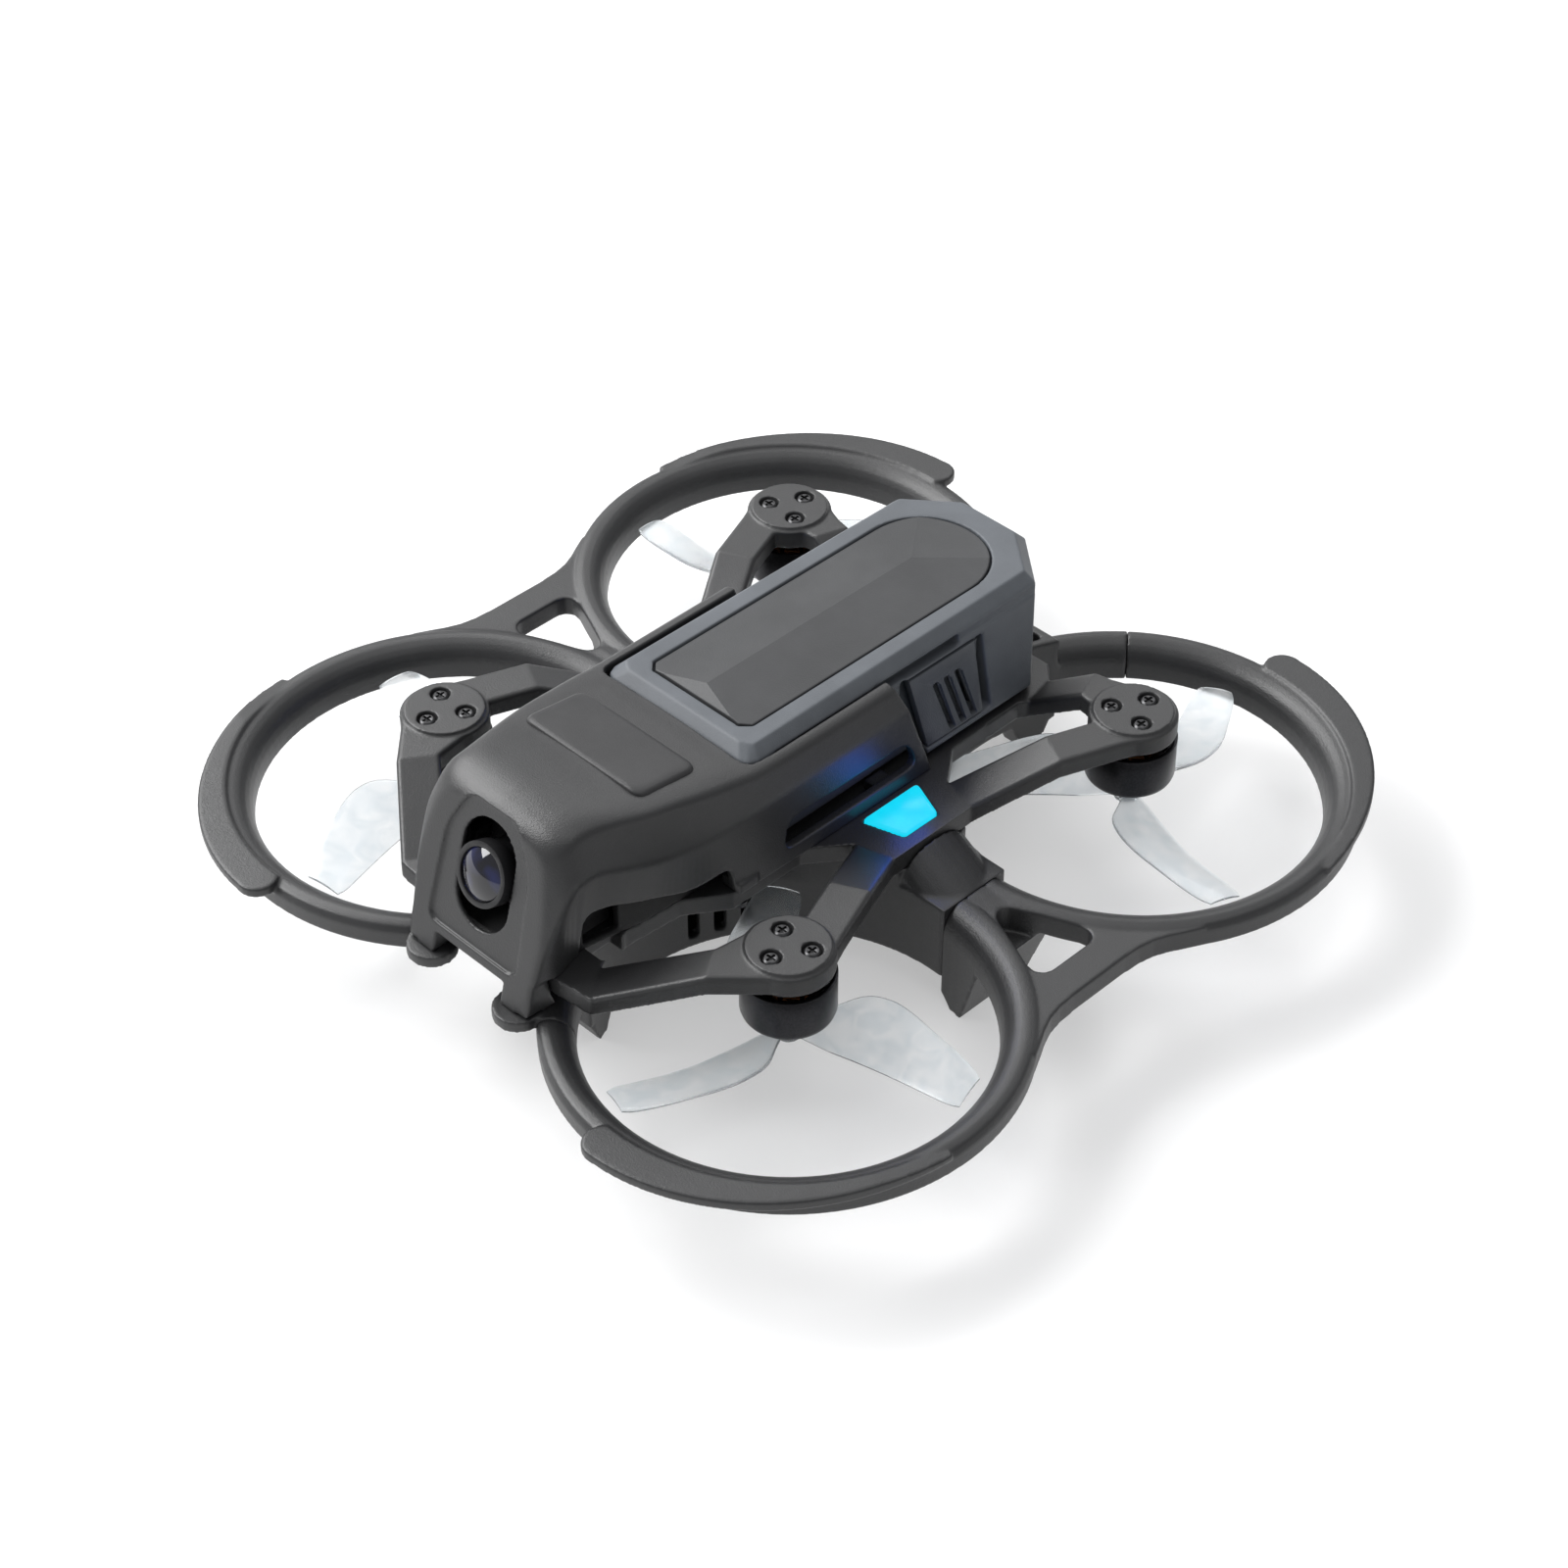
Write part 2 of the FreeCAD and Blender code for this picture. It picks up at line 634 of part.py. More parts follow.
# Hood sections from rear to front: depth, height on the centre line, upper edge, side crease, foot.
HOOD = [
    (-26.5, 47.5, (18.6, 47.2), (20.4, 40.8), 22.6),
    (-36.0, 49.1, (17.9, 48.4), (20.0, 40.5), 22.0),
    (-42.0, 49.9, (17.2, 49.2), (19.4, 40.3), 21.2),
    (-47.0, 50.6, (16.6, 49.8), (18.6, 40.0), 20.2),
    (-52.5, 51.4, (15.4, 50.2), (17.4, 39.5), 18.8),
    (-60.5, 52.1, (12.6, 48.3), (15.6, 38.5), 16.6),
    (-64.0, 50.9, (11.7, 44.4), (14.8, 37.5), 15.6),
    (-73.0, 46.0, (11.0, 40.0), (14.0, 33.0), 14.6),
]


def hood_section(y, crown, edge, crease, foot, wall, lift, floor):
    half = [(0.0, y, crown - wall + lift),
            (edge[0] * 0.62 - wall, y, crown - (crown - edge[1]) * 0.3 - wall + lift),
            (edge[0] - wall, y, edge[1] - wall + lift),
            (crease[0] - wall, y, crease[1]),
            (foot - wall, y, floor)]
    return both_sides(half)


def hood_loft(name, wall=0.0, lift=0.0, floor=None):
    level = deck_top if floor is None else floor
    return loft(name, [hood_section(y, crown, edge, crease, foot, wall, lift, level)
                       for y, crown, edge, crease, foot in HOOD])


def beyond_face(name, setback):
    """Everything in front of the leaning face plane."""
    def plane_y(z):
        return -dim("face_depth") + setback + (z - dim("lens_height")) * FACE_TAN
    return prism_x(name, [(plane_y(15.0), 15.0), (plane_y(60.0), 60.0), (-95.0, 60.0), (-95.0, 15.0)],
                   -30.0, 60.0)


def on_face(name, outline, start, length):
    """An outline drawn on the leaning face plane, pushed outwards from start."""
    points = []
    for across, up in outline:
        point = FACE_CENTRE + FACE_UP * up + FACE_OUT * start
        points.append((across, point.y, point.z))
    return extrude(name, points, FACE_OUT, length)


def canopy():
    """Hood, side rims along the battery, leaning lens face and two front columns."""
    wall = dim("canopy_wall")
    outer = hood_loft("canopy_outer")
    inner = cut("canopy_inner", hood_loft("canopy_inner_raw", wall, 0.0, deck_top - 4.0),
                beyond_face("canopy_inner_face", wall / math.cos(math.radians(dim("face_lean")))))
    shell = cut("canopy_shell", outer, inner)
    rear_end = prism_y("canopy_rear_end_cut", [(-17.2, 27.0), (17.2, 27.0), (17.2, 44.0), (-17.2, 44.0)],
                       -27.5, 3.0)
    rim = prism_y("canopy_rim_left", [(17.3, 46.9), (19.5, 47.1), (20.4, 41.0), (22.6, deck_top),
                                      (21.1, deck_top), (18.9, 40.5), (17.3, 44.0)], -27.0, 42.0)
    rake = prism_x("canopy_rake", [(3.3, 50.0), (14.0, 20.0), (40.0, 20.0), (40.0, 50.0)], -30.0, 60.0)
    rims = cut("canopy_rims", fuse("canopy_rims_raw", rim, mirror_x("canopy_rim_right", rim)), rake)
    column = block("canopy_column_left", (8.0, -73.0, lip_top), (15.0, -66.4, 28.5))
    chin = block("canopy_chin", (-8.4, -73.0, 24.0), (8.4, -68.0, 27.5))
    tabs = []
    holes = []
    for side in (1, -1):
        for index, y in enumerate(CANOPY_TABS):
            x_low, x_high = sorted((side * 17.4, side * 22.0))
            tabs.append(block("canopy_tab_%d_%d" % (side + 1, index), (x_low, y - 2.0, deck_top),
                              (x_high, y + 2.0, deck_top + 2.0)))
            holes.append(cylinder("canopy_tab_hole_%d_%d" % (side + 1, index), "Dims.screw_shank_radius",
                                  8.0, side * TAB_X, y, deck_top - 3.0))
    solid = fuse("canopy_joined", shell, rims, column, mirror_x("canopy_column_right", column), chin,
                 *tabs)
    window = on_face("canopy_window", stadium(dim("window_half_width"), dim("window_straight") / 2.0),
                     -6.0, 12.0)
    inset = on_face("canopy_inset", [(-10.4, -13.2), (10.4, -13.2), (9.6, 4.0), (8.0, 9.5), (4.5, 12.4),
                                     (-4.5, 12.4), (-8.0, 9.5), (-9.6, 4.0)], -0.5, 6.0)
    opening = prism_x("canopy_side_opening", [(-31.8, 25.0), (-31.8, 33.6), (-34.2, 35.4), (-46.0, 35.8),
                                              (-55.6, 36.8), (-58.6, 35.4), (-59.8, 31.0), (-60.2, 25.0)],
                      -30.0, 60.0)
    slot = prism_x("canopy_slot", [(-22.0, 29.5), (-21.4, 35.5), (5.6, 35.5), (7.6, 29.5)], -30.0, 60.0)
    return give("canopy", cut("canopy_finished", solid, beyond_face("canopy_face", 0.0), window, inset,
                              opening, slot, rear_end, *holes))


def stadium(radius, half_straight):
    """Outline with two straight sides and half-round ends."""
    upper = [(radius * math.cos(math.radians(angle)),
              half_straight + radius * math.sin(math.radians(angle))) for angle in range(0, 181, 15)]
    lower = [(radius * math.cos(math.radians(angle)),
              -half_straight + radius * math.sin(math.radians(angle))) for angle in range(180, 361, 15)]
    return upper + lower


def badge_plate():
    """Thin blank plate that follows the top of the hood."""
    outline = [(-12.9, -33.0), (12.9, -33.0), (13.7, -46.2), (-13.7, -46.2)]
    blank = prism_z("badge_blank", outline, 40.0, 15.0)
    skin = cut("badge_skin", hood_loft("badge_upper", 0.0, 0.7), hood_loft("badge_lower"))
    return give("badge_plate", common("badge_finished", blank, skin))


canopy()
badge_plate()


def inner_housing():
    """Upright walls inside the canopy that carry the wiring, with a round-topped opening each side."""
    wall = 1.4
    outside = [(16.6, -28.0), (15.4, -48.0), (13.2, -61.0)]
    inside = [(x - wall, y) for x, y in reversed(outside)]
    left = prism_z("housing_left", outside + inside, deck_top, 11.3)
    right = mirror_x("housing_right", left)
    bridge = block("housing_bridge", (-16.0, -45.2, 35.8), (16.0, -33.0, 37.8))
    bulkhead = block("housing_bulkhead", (-13.0, -45.2, 37.0), (13.0, -44.0, 46.6))
    opening = prism_x("housing_opening", [(-58.6, 27.5), (-52.2, 27.5), (-52.2, 33.4), (-53.2, 35.4),
                                          (-55.4, 36.3), (-57.6, 35.4), (-58.6, 33.4)], -20.0, 40.0)
    return give("inner_housing", cut("housing_finished",
                                     fuse("housing_joined", left, right, bridge, bulkhead), opening))


inner_housing()


# ---------------------------------------------------------------- camera

CAMERA_PIVOT = Vector(0, -dim("camera_pivot_depth"), 35.0)
CAMERA_TILT = 20.0
CAMERA_AXIS = Vector(0, -math.cos(math.radians(CAMERA_TILT)), math.sin(math.radians(CAMERA_TILT)))
CAMERA_UP = Vector(0, math.sin(math.radians(CAMERA_TILT)), math.cos(math.radians(CAMERA_TILT)))


def camera_round(name, radius, height, start):
    """A cylinder on the optical axis, start measured forwards from the pivot."""
    point = CAMERA_PIVOT + CAMERA_AXIS * start
    return cylinder(name, radius, height, point.x, point.y, point.z, X_AXIS, 90.0 - CAMERA_TILT)


def camera_parts():
    """Tilting camera: a body between two plates, its lens barrel and its glass."""
    half = 6.5
    depth = 4.5
    corners = []
    for along, up in ((-depth, -half), (depth, -half), (depth, half), (-depth, half)):
        point = CAMERA_PIVOT + CAMERA_AXIS * along + CAMERA_UP * up
        corners.append((point.y, point.z))
    body = prism_x("camera_block", corners, -half, 2.0 * half)
    bore = cylinder("camera_bore", "Dims.shaft_radius + Dims.running_gap", 20.0, -10.0, CAMERA_PIVOT.y,
                    CAMERA_PIVOT.z, Y_AXIS, 90.0)
    seat = camera_round("camera_seat", 5.0, 3.0, 3.5)
    give("camera_body", cut("camera_finished", body, bore, seat))
    barrel = fuse("barrel_joined", camera_round("barrel_root", 5.0, 1.5, 3.5),
                  camera_round("barrel_tube", "Dims.barrel_radius - 0.5", 5.0, 5.0),
                  camera_round("barrel_ring", "Dims.barrel_radius", 2.6, 9.3))
    give("lens_barrel", cut("barrel_finished", barrel,
                            camera_round("barrel_mouth", "Dims.glass_radius", 2.0, 11.0)))
    dome = doc.addObject("Part::Sphere", "glass_ball")
    dome.Radius = 8.0
    centre = CAMERA_PIVOT + CAMERA_AXIS * (12.9 - 8.0)
    place(dome, centre.x, centre.y, centre.z)
    give("lens_glass", common("glass_finished", dome,
                              camera_round("glass_rod", "Dims.glass_radius", 3.0, 11.0)))


def camera_bracket():
    """Two upright plates joined by a bar behind the camera."""
    plates = []
    for side in (1, -1):
        x_low, x_high = sorted((side * 8.2, side * 9.6))
        plates.append(block("bracket_plate_%d" % (side + 1), (x_low, -61.0, deck_top),
                            (x_high, -46.0, 39.0)))
    bar = block("bracket_bar", (-9.6, -47.5, deck_top), (9.6, -46.0, 33.0))
    bore = cylinder("bracket_bore", "Dims.shaft_radius", 24.0, -12.0, CAMERA_PIVOT.y, CAMERA_PIVOT.z,
                    Y_AXIS, 90.0)
    return give("camera_bracket", cut("bracket_finished", fuse("bracket_joined", *plates, bar), bore))


def camera_screws():
    screws = []
    for side in (1, -1):
        start = 4.6 if side > 0 else -9.6
        shank = cylinder("camera_screw_shank_%d" % (side + 1), "Dims.shaft_radius", 5.0, start,
                         CAMERA_PIVOT.y, CAMERA_PIVOT.z, Y_AXIS, 90.0)
        head = cylinder("camera_screw_head_%d" % (side + 1), "Dims.screw_head_radius", 0.9,
                        9.6 if side > 0 else -10.5, CAMERA_PIVOT.y, CAMERA_PIVOT.z, Y_AXIS, 90.0)
        screws.append(fuse("camera_screw_%d" % (side + 1), shank, head))
    return give("camera_screws", group("camera_screw_pair", *screws))


camera_parts()
camera_bracket()
camera_screws()


# ---------------------------------------------------------------- boards and wiring

FLOOR = tub_bottom + dim("tub_wall")
FLIGHT_BOARD = 10.3
VIDEO_BOARD = 16.0
GROMMET_PLACES = [(x, y) for x in (-1, 1) for y in (-1, 1)]


def board_with_holes(node, width, z, spacing, hole_radius):
    """A square printed board as a pad with four mounting holes pocketed through it."""
    body = doc.addObject("PartDesign::Body", node + "_body")
    outline = body.newObject("Sketcher::SketchObject", node + "_sketch")
    half = width / 2.0
    corners = [(-half, -half), (half, -half), (half, half), (-half, half)]
    for index, corner in enumerate(corners):
        following = corners[(index + 1) % 4]
        outline.addGeometry(Part.LineSegment(Vector(corner[0], corner[1], 0),
                                             Vector(following[0], following[1], 0)))
    for x_side, y_side in GROMMET_PLACES:
        centre = Vector(x_side * spacing / 2.0, y_side * spacing / 2.0, 0)
        outline.addGeometry(Part.Circle(centre, Z_AXIS, hole_radius))
    outline.Placement = FreeCAD.Placement(Vector(0, 0, z), Rotation())
    pad = body.newObject("PartDesign::Pad", node + "_pad")
    pad.Profile = outline
    pad.setExpression("Length", "Dims.board_thickness")
    return body


def flight_board():
    thickness = dim("board_thickness")
    top = FLIGHT_BOARD + thickness
    board = board_with_holes("flight_board", dim("board_width"), FLIGHT_BOARD, dim("board_hole_spacing"),
                             1.55)
    chips = [block("flight_chip_main", (-4.0, -4.0, top), (4.0, 4.0, top + 1.0)),
             block("flight_chip_sensor", (-1.5, 7.5, top), (1.5, 10.5, top + 0.8)),
             block("flight_plug", (-4.5, -13.0, top), (4.5, -9.8, top + 1.6))]
    for index, x in enumerate((-11.4, -6.0, 3.6, 9.0)):
        chips.append(block("flight_power_%d" % index, (x, -0.9 if abs(x) > 8 else 6.0, top),
                           (x + 2.4, 2.4 if abs(x) > 8 else 9.0, top + 0.7)))
    return give("flight_board", fuse("flight_finished", board, *chips))


def video_board():
    top = VIDEO_BOARD + dim("board_thickness")
    board = board_with_holes("video_board", 21.0, VIDEO_BOARD, 14.8, 0.9)
    sink = block("video_sink", (-5.5, -5.5, top), (5.5, 5.5, top + 1.2))
    fins = [block("video_fin_%d" % index, (-5.5, -5.5 + index * 2.55, top + 1.2),
                  (5.5, -4.7 + index * 2.55, top + 3.0)) for index in range(5)]
    return give("video_board", fuse("video_finished", board, sink, *fins))


def grommets():
    pieces = []
    for index, (x_side, y_side) in enumerate(GROMMET_PLACES):
        half = dim("board_hole_spacing") / 2.0
        profile = [(1.0, 9.0), (2.2, 9.0), (2.2, FLIGHT_BOARD), (1.55, FLIGHT_BOARD), (1.55, 11.5),
                   (2.2, 11.5), (2.2, 12.3), (1.0, 12.3)]
        pieces.append(revolve("grommet_%d" % index, profile, x_side * half, y_side * half))
    return give("grommets", group("grommet_set", *pieces))


def board_screws():
    pieces = []
    half = dim("board_hole_spacing") / 2.0
    for index, (x_side, y_side) in enumerate(GROMMET_PLACES):
        shank = cylinder("board_screw_shank_%d" % index, "Dims.screw_shank_radius", 5.0, x_side * half,
                         y_side * half, 7.4)
        head = cylinder("board_screw_head_%d" % index, "Dims.screw_head_radius + 0.3", 0.9, x_side * half,
                        y_side * half, 12.3)
        pieces.append(fuse("board_screw_%d" % index, shank, head))
    return give("board_screws", group("board_screw_set", *pieces))


def board_spacers():
    pieces = []
    for index, (x_side, y_side) in enumerate(GROMMET_PLACES):
        low = FLIGHT_BOARD + dim("board_thickness")
        body = cylinder("spacer_body_%d" % index, 1.4, VIDEO_BOARD - low, x_side * 7.4, y_side * 7.4, low)
        stud = cylinder("spacer_stud_%d" % index, 0.9, 2.4, x_side * 7.4, y_side * 7.4, VIDEO_BOARD - 0.5)
        pieces.append(fuse("spacer_%d" % index, body, stud))
    return give("board_spacers", group("spacer_set", *pieces))


def usb_port():
    shell = block("usb_shell", (-4.45, 47.6, FLOOR), (4.45, 55.4, FLOOR + 3.2))
    mouth = block("usb_mouth", (-3.9, 50.0, FLOOR + 0.4), (3.9, 57.0, FLOOR + 2.8))
    tongue = block("usb_tongue", (-3.2, 49.0, FLOOR + 1.25), (3.2, 54.4, FLOOR + 1.95))
    return give("usb_port", fuse("usb_finished", cut("usb_hollow", shell, mouth), tongue))


PIN_PLACES = (-4.4, -2.2, 0.0, 2.2, 4.4)


def battery_socket():
    housing = block("socket_housing", (-7.0, -31.0, deck_top), (7.0, -27.2, 34.0))
    pins = [block("socket_pin_%d" % index, (x - 0.3, -28.0, 29.4), (x + 0.3, -23.2, 32.2))
            for index, x in enumerate(PIN_PLACES)]
    return give("battery_socket", fuse("socket_finished", housing, *pins))


flight_board()
video_board()
grommets()
board_screws()
board_spacers()
usb_port()
battery_socket()


# ---------------------------------------------------------------- battery

battery_half = dim("battery_half_width")
battery_front = -dim("battery_front")
battery_rear = dim("battery_rear")
battery_low = dim("battery_bottom")
battery_top = dim("battery_top")


def battery_outline(inset):
    """Plan outline of the battery: rounded front corners, cut-off rear corners."""
    half = [(14.6 - inset, battery_front + inset), (16.1 - inset, battery_front + 0.7 + inset),
            (battery_half - inset, battery_front + 2.4 + inset * 0.4),
            (16.4 - inset, 41.9 - inset * 0.4), (6.8 - inset * 0.4, battery_rear - inset)]
    return half + [(-x, y) for x, y in reversed(half)]


def inlay_outline(margin):
    half_width = dim("inlay_half_width") + margin
    front = -dim("inlay_front") - margin
    tail = arc_points((0.0, dim("inlay_centre")), half_width, 0.0, 180.0, 24)
    return [(-half_width + 1.6, front), (half_width - 1.6, front), (half_width, front + 1.6)] + tail + \
        [(-half_width, front + 1.6)]


def battery_case():
    """Moulded shell: bevelled top, flared flanks behind the canopy, pockets for inlay, plug and latches."""
    bevel_low = battery_top - 2.0
    core = loft("battery_core", [[(x, y, battery_low) for x, y in battery_outline(0.0)],
                                 [(x, y, bevel_low) for x, y in battery_outline(0.0)],
                                 [(x, y, battery_top) for x, y in battery_outline(2.0)]])
    flank = prism_y("battery_flank_left", [(15.5, 44.2), (16.8, 43.8), (19.9, 28.3), (19.5, battery_low),
                                           (15.5, battery_low)], 9.0, 36.0)
    front_rake = prism_x("battery_flank_front", [(0.0, 50.0), (9.1, 50.0), (12.8, 27.0), (0.0, 27.0)],
                         -30.0, 60.0)
    rear_corner = prism_z("battery_corner", [(19.9, 38.0), (16.4, 41.9), (11.6, 46.0), (11.6, 60.0),
                                             (30.0, 60.0), (30.0, 38.0)], 20.0, 40.0)
    flanks = cut("battery_flanks", flank, front_rake, rear_corner)
    solid = fuse("battery_solid", core, flanks, mirror_x("battery_flanks_right", flanks))
    shell = dim("battery_shell")
    cavity = block("battery_cavity", (-13.3, -21.4, battery_low + shell), (13.3, 40.0, battery_top - 2.6))
    inlay_pocket = prism_z("battery_inlay_pocket", inlay_outline(dim("inlay_gap")), battery_top - 1.4,
                           4.0)
    plug_pocket = block("battery_plug_pocket", (-6.1, -27.0, 28.6), (6.1, -21.0, 33.0))
    cuts = [cavity, inlay_pocket, plug_pocket]
    for side in (1, -1):
        x_low, x_high = sorted((side * 15.2, side * 20.0))
        cuts.append(block("battery_groove_%d" % (side + 1), (x_low, -20.0, 43.6), (x_high, 23.0, 45.6)))
    pocket = latch_slab("battery_latch_pocket", 12.1 - 3.0, 28.4, 29.0, 43.0, -2.6, 3.0)
    corner = block("battery_hinge_pocket", (14.4, 24.4, 29.0), (18.0, 28.4, 43.0))
    bore = cylinder("battery_hinge_bore", "Dims.latch_pin_radius + Dims.running_gap", 15.3,
                    LATCH_HINGE[0], LATCH_HINGE[1], 28.3)
    for tool in (pocket, corner, bore):
        cuts += [tool, mirror_x(tool.Name + "_right", tool)]
    return give("battery_case", cut("battery_finished", solid, *cuts))


def flank_x(z):
    """How far the flared flank reaches sideways at a height."""
    return 16.8 + (43.8 - z) * (3.1 / 15.5)


def latch_slab(name, front, rear, low, high, inner, outer):
    """A slab parallel to the +X flank between two offsets from its surface."""
    section = [(flank_x(low) + inner, low), (flank_x(low) + outer, low), (flank_x(high) + outer, high),
               (flank_x(high) + inner, high)]
    return prism_y(name, section, front, rear - front)


def battery_latch(node, side):
    """Press-in side latch with a raked front edge and three raked grip slots."""
    thickness = dim("latch_thickness")
    plate = latch_slab(node + "_plate", 9.0, 26.2, 29.4, 42.6, -thickness, 0.0)
    rake = prism_x(node + "_rake", [(0.0, 50.0), (9.5, 50.0), (13.2, 27.0), (0.0, 27.0)], 10.0, 20.0)
    slots = []
    for index in range(3):
        y = 16.4 + 2.65 * index
        slots.append(prism_x("%s_grip_%d" % (node, index),
                             [(y - 0.1, 38.9), (y + 1.1, 38.9), (y + 3.2, 30.0), (y + 2.0, 30.0)], 10.0,
                             20.0))
    keep = latch_slab(node + "_web", 13.5, 26.2, 29.4, 42.6, -thickness, -0.7)
    web = cut(node + "_web_trim", keep, prism_x(node + "_rake_two",
                                                [(0.0, 50.0), (9.5, 50.0), (13.2, 27.0), (0.0, 27.0)],
                                                10.0, 20.0))
    knuckle = cylinder(node + "_knuckle", 0.85, 12.0, LATCH_HINGE[0], LATCH_HINGE[1], 30.0)
    pin = cylinder(node + "_pin", "Dims.latch_pin_radius", 15.0, LATCH_HINGE[0], LATCH_HINGE[1], 28.4)
    strap = prism_z(node + "_strap", [(LATCH_HINGE[0] - 0.3, 26.6), (LATCH_HINGE[0] - 0.3, 27.8),
                                      (17.7, 26.2), (17.7, 24.8)], 33.0, 3.4)
    solid = fuse(node + "_finished", cut(node + "_cut", plate, rake, *slots), web, knuckle, pin, strap)
    if side > 0:
        return give(node, solid)
    return give(node, mirror_x(node + "_mirrored", solid))


LATCH_HINGE = (15.6, 27.2)


def battery_inlay():
    """Raised panel set into the top of the battery, with a low ridge along the middle."""
    low = battery_top - 1.4
    blank = prism_z("inlay_blank", inlay_outline(0.0), low, 6.0)
    roof = prism_y("inlay_roof", [(-12.0, low), (12.0, low), (12.0, 47.6), (0.0, 49.4), (-12.0, 47.6)],
                   -30.0, 80.0)
    spine = prism_x("inlay_spine", [(-22.0, low), (44.0, low), (44.0, 47.6), (28.0, 49.5), (-18.4, 49.5),
                                    (-22.0, 47.6)], -13.0, 26.0)
    return give("battery_inlay", common("inlay_finished", blank, roof, spine))


def battery_cells():
    cells = []
    for index in range(4):
        low = battery_low + 1.6 + index * 4.05
        cells.append(round_edges("cell_%d" % index, block("cell_block_%d" % index, (-12.8, -18.6, low),
                                                          (12.8, 38.6, low + 3.9)), 1.6, is_vertical))
    return give("battery_cells", group("cell_stack", *cells))


def battery_board():
    board = block("battery_board_plate", (-12.0, -20.9, 29.4), (12.0, -19.9, 44.6))
    chips = [block("battery_board_chip_%d" % index, (x, -19.9, 38.0), (x + 5.0, -19.0, 42.0))
             for index, x in enumerate((-9.0, 3.0))]
    return give("battery_board", fuse("battery_board_finished", board, *chips))


def battery_plug():
    housing = block("plug_housing", (-6.0, -25.4, 28.7), (6.0, -21.0, 32.9))
    slots = [block("plug_slot_%d" % index, (x - 0.5, -27.0, 29.2), (x + 0.5, -22.6, 32.4))
             for index, x in enumerate(PIN_PLACES)]
    return give("battery_plug", cut("plug_finished", housing, *slots))


battery_case()
battery_latch("battery_latch_left", 1)
battery_latch("battery_latch_right", -1)
battery_inlay()
battery_cells()
battery_board()
battery_plug()


# ---------------------------------------------------------------- motors and propellers

def at_motor(feature, x, y, angle=0.0):
    return place(feature, x, y, 0.0, Z_AXIS, angle)


def spokes(name, outline, z, height, x, y, count, first=0.0):
    """Equal prisms repeated round a motor axis."""
    pieces = []
    for index in range(count):
        piece = prism_z("%s_%d" % (name, index), outline, z, height)
        pieces.append(at_motor(piece, x, y, first + 360.0 * index / count))
    return pieces


def sector(inner, outer, half_angle):
    """Plan outline of a short curved segment centred on the +X direction."""
    return arc_points((0.0, 0.0), outer, -half_angle, half_angle, 4) + \
        arc_points((0.0, 0.0), inner, half_angle, -half_angle, 4)


STACK_LOW = 22.4
STACK_HEIGHT = 4.2


def stator(label, x, y, y_side):
    bore = dim("shaft_radius") + dim("running_gap")
    profile = [(bore, 21.3), (2.2, 21.3), (2.2, STACK_LOW), (2.9, STACK_LOW),
               (2.9, STACK_LOW + STACK_HEIGHT), (2.2, STACK_LOW + STACK_HEIGHT), (2.2, 28.3), (5.6, 28.3),
               (5.6, arm_bottom), (bore, arm_bottom)]
    core = revolve("stator_core_" + label, profile, x, y)
    teeth = int(dim("stator_teeth"))
    necks = spokes("stator_neck_" + label, [(2.6, -0.55), (5.5, -0.55), (5.5, 0.55), (2.6, 0.55)],
                   STACK_LOW, STACK_HEIGHT, x, y, teeth)
    shoes = spokes("stator_shoe_" + label, sector(5.3, dim("stator_radius"), 15.0), STACK_LOW,
                   STACK_HEIGHT, x, y, teeth)
    holes = [cylinder("stator_hole_%s_%d" % (label, index), "Dims.screw_shank_radius", 3.0, sx, sy, 27.5)
             for index, (sx, sy) in enumerate(screw_places(x, y, y_side))]
    solid = fuse("stator_joined_" + label, core, *necks, *shoes)
    return give("stator_" + label, cut("stator_finished_" + label, solid, *holes))


def windings(label, x, y):
    coils = []
    teeth = int(dim("stator_teeth"))
    blanks = spokes("coil_blank_" + label, [(3.1, -0.85), (5.1, -1.4), (5.1, 1.4), (3.1, 0.85)],
                    STACK_LOW - 0.5, STACK_HEIGHT + 1.0, x, y, teeth)
    cores = spokes("coil_core_" + label, [(2.6, -0.55), (5.5, -0.55), (5.5, 0.55), (2.6, 0.55)],
                   STACK_LOW, STACK_HEIGHT, x, y, teeth)
    for index, (blank, core) in enumerate(zip(blanks, cores)):
        coils.append(cut("coil_%s_%d" % (label, index), blank, core))
    return give("windings_" + label, group("coil_set_" + label, *coils))


def bell(label, x, y):
    outer = dim("bell_radius")
    bore = dim("bell_bore")
    low = dim("bell_bottom")
    high = dim("bell_top")
    floor = low + dim("bell_floor")
    shaft = dim("shaft_radius")
    profile = [(shaft, low), (5.0, low), (6.6, low + 0.45), (7.45, low + 1.1), (outer, low + 1.9),
               (outer, high), (bore, high), (bore, floor), (2.4, floor), (2.4, floor + 0.4),
               (shaft, floor + 0.4)]
    cup = revolve("bell_cup_" + label, profile, x, y)
    vents = spokes("bell_vent_" + label, [(3.2, -0.8), (5.6, -1.3), (5.6, 1.3), (3.2, 0.8)], low - 1.0,
                   5.0, x, y, 6)
    return give("bell_" + label, cut("bell_finished_" + label, cup, *vents))


def magnets(label, x, y):
    bore = dim("bell_bore")
    pieces = spokes("magnet_" + label, sector(bore - 0.5, bore, 12.5), 21.5, 6.0, x, y, 12)
    return give("magnets_" + label, group("magnet_ring_" + label, *pieces))


def motor_shaft(label, x, y):
    rod = cylinder("shaft_rod_" + label, "Dims.shaft_radius", 15.0, x, y, 14.0)
    return give("motor_shaft_" + label, rod)


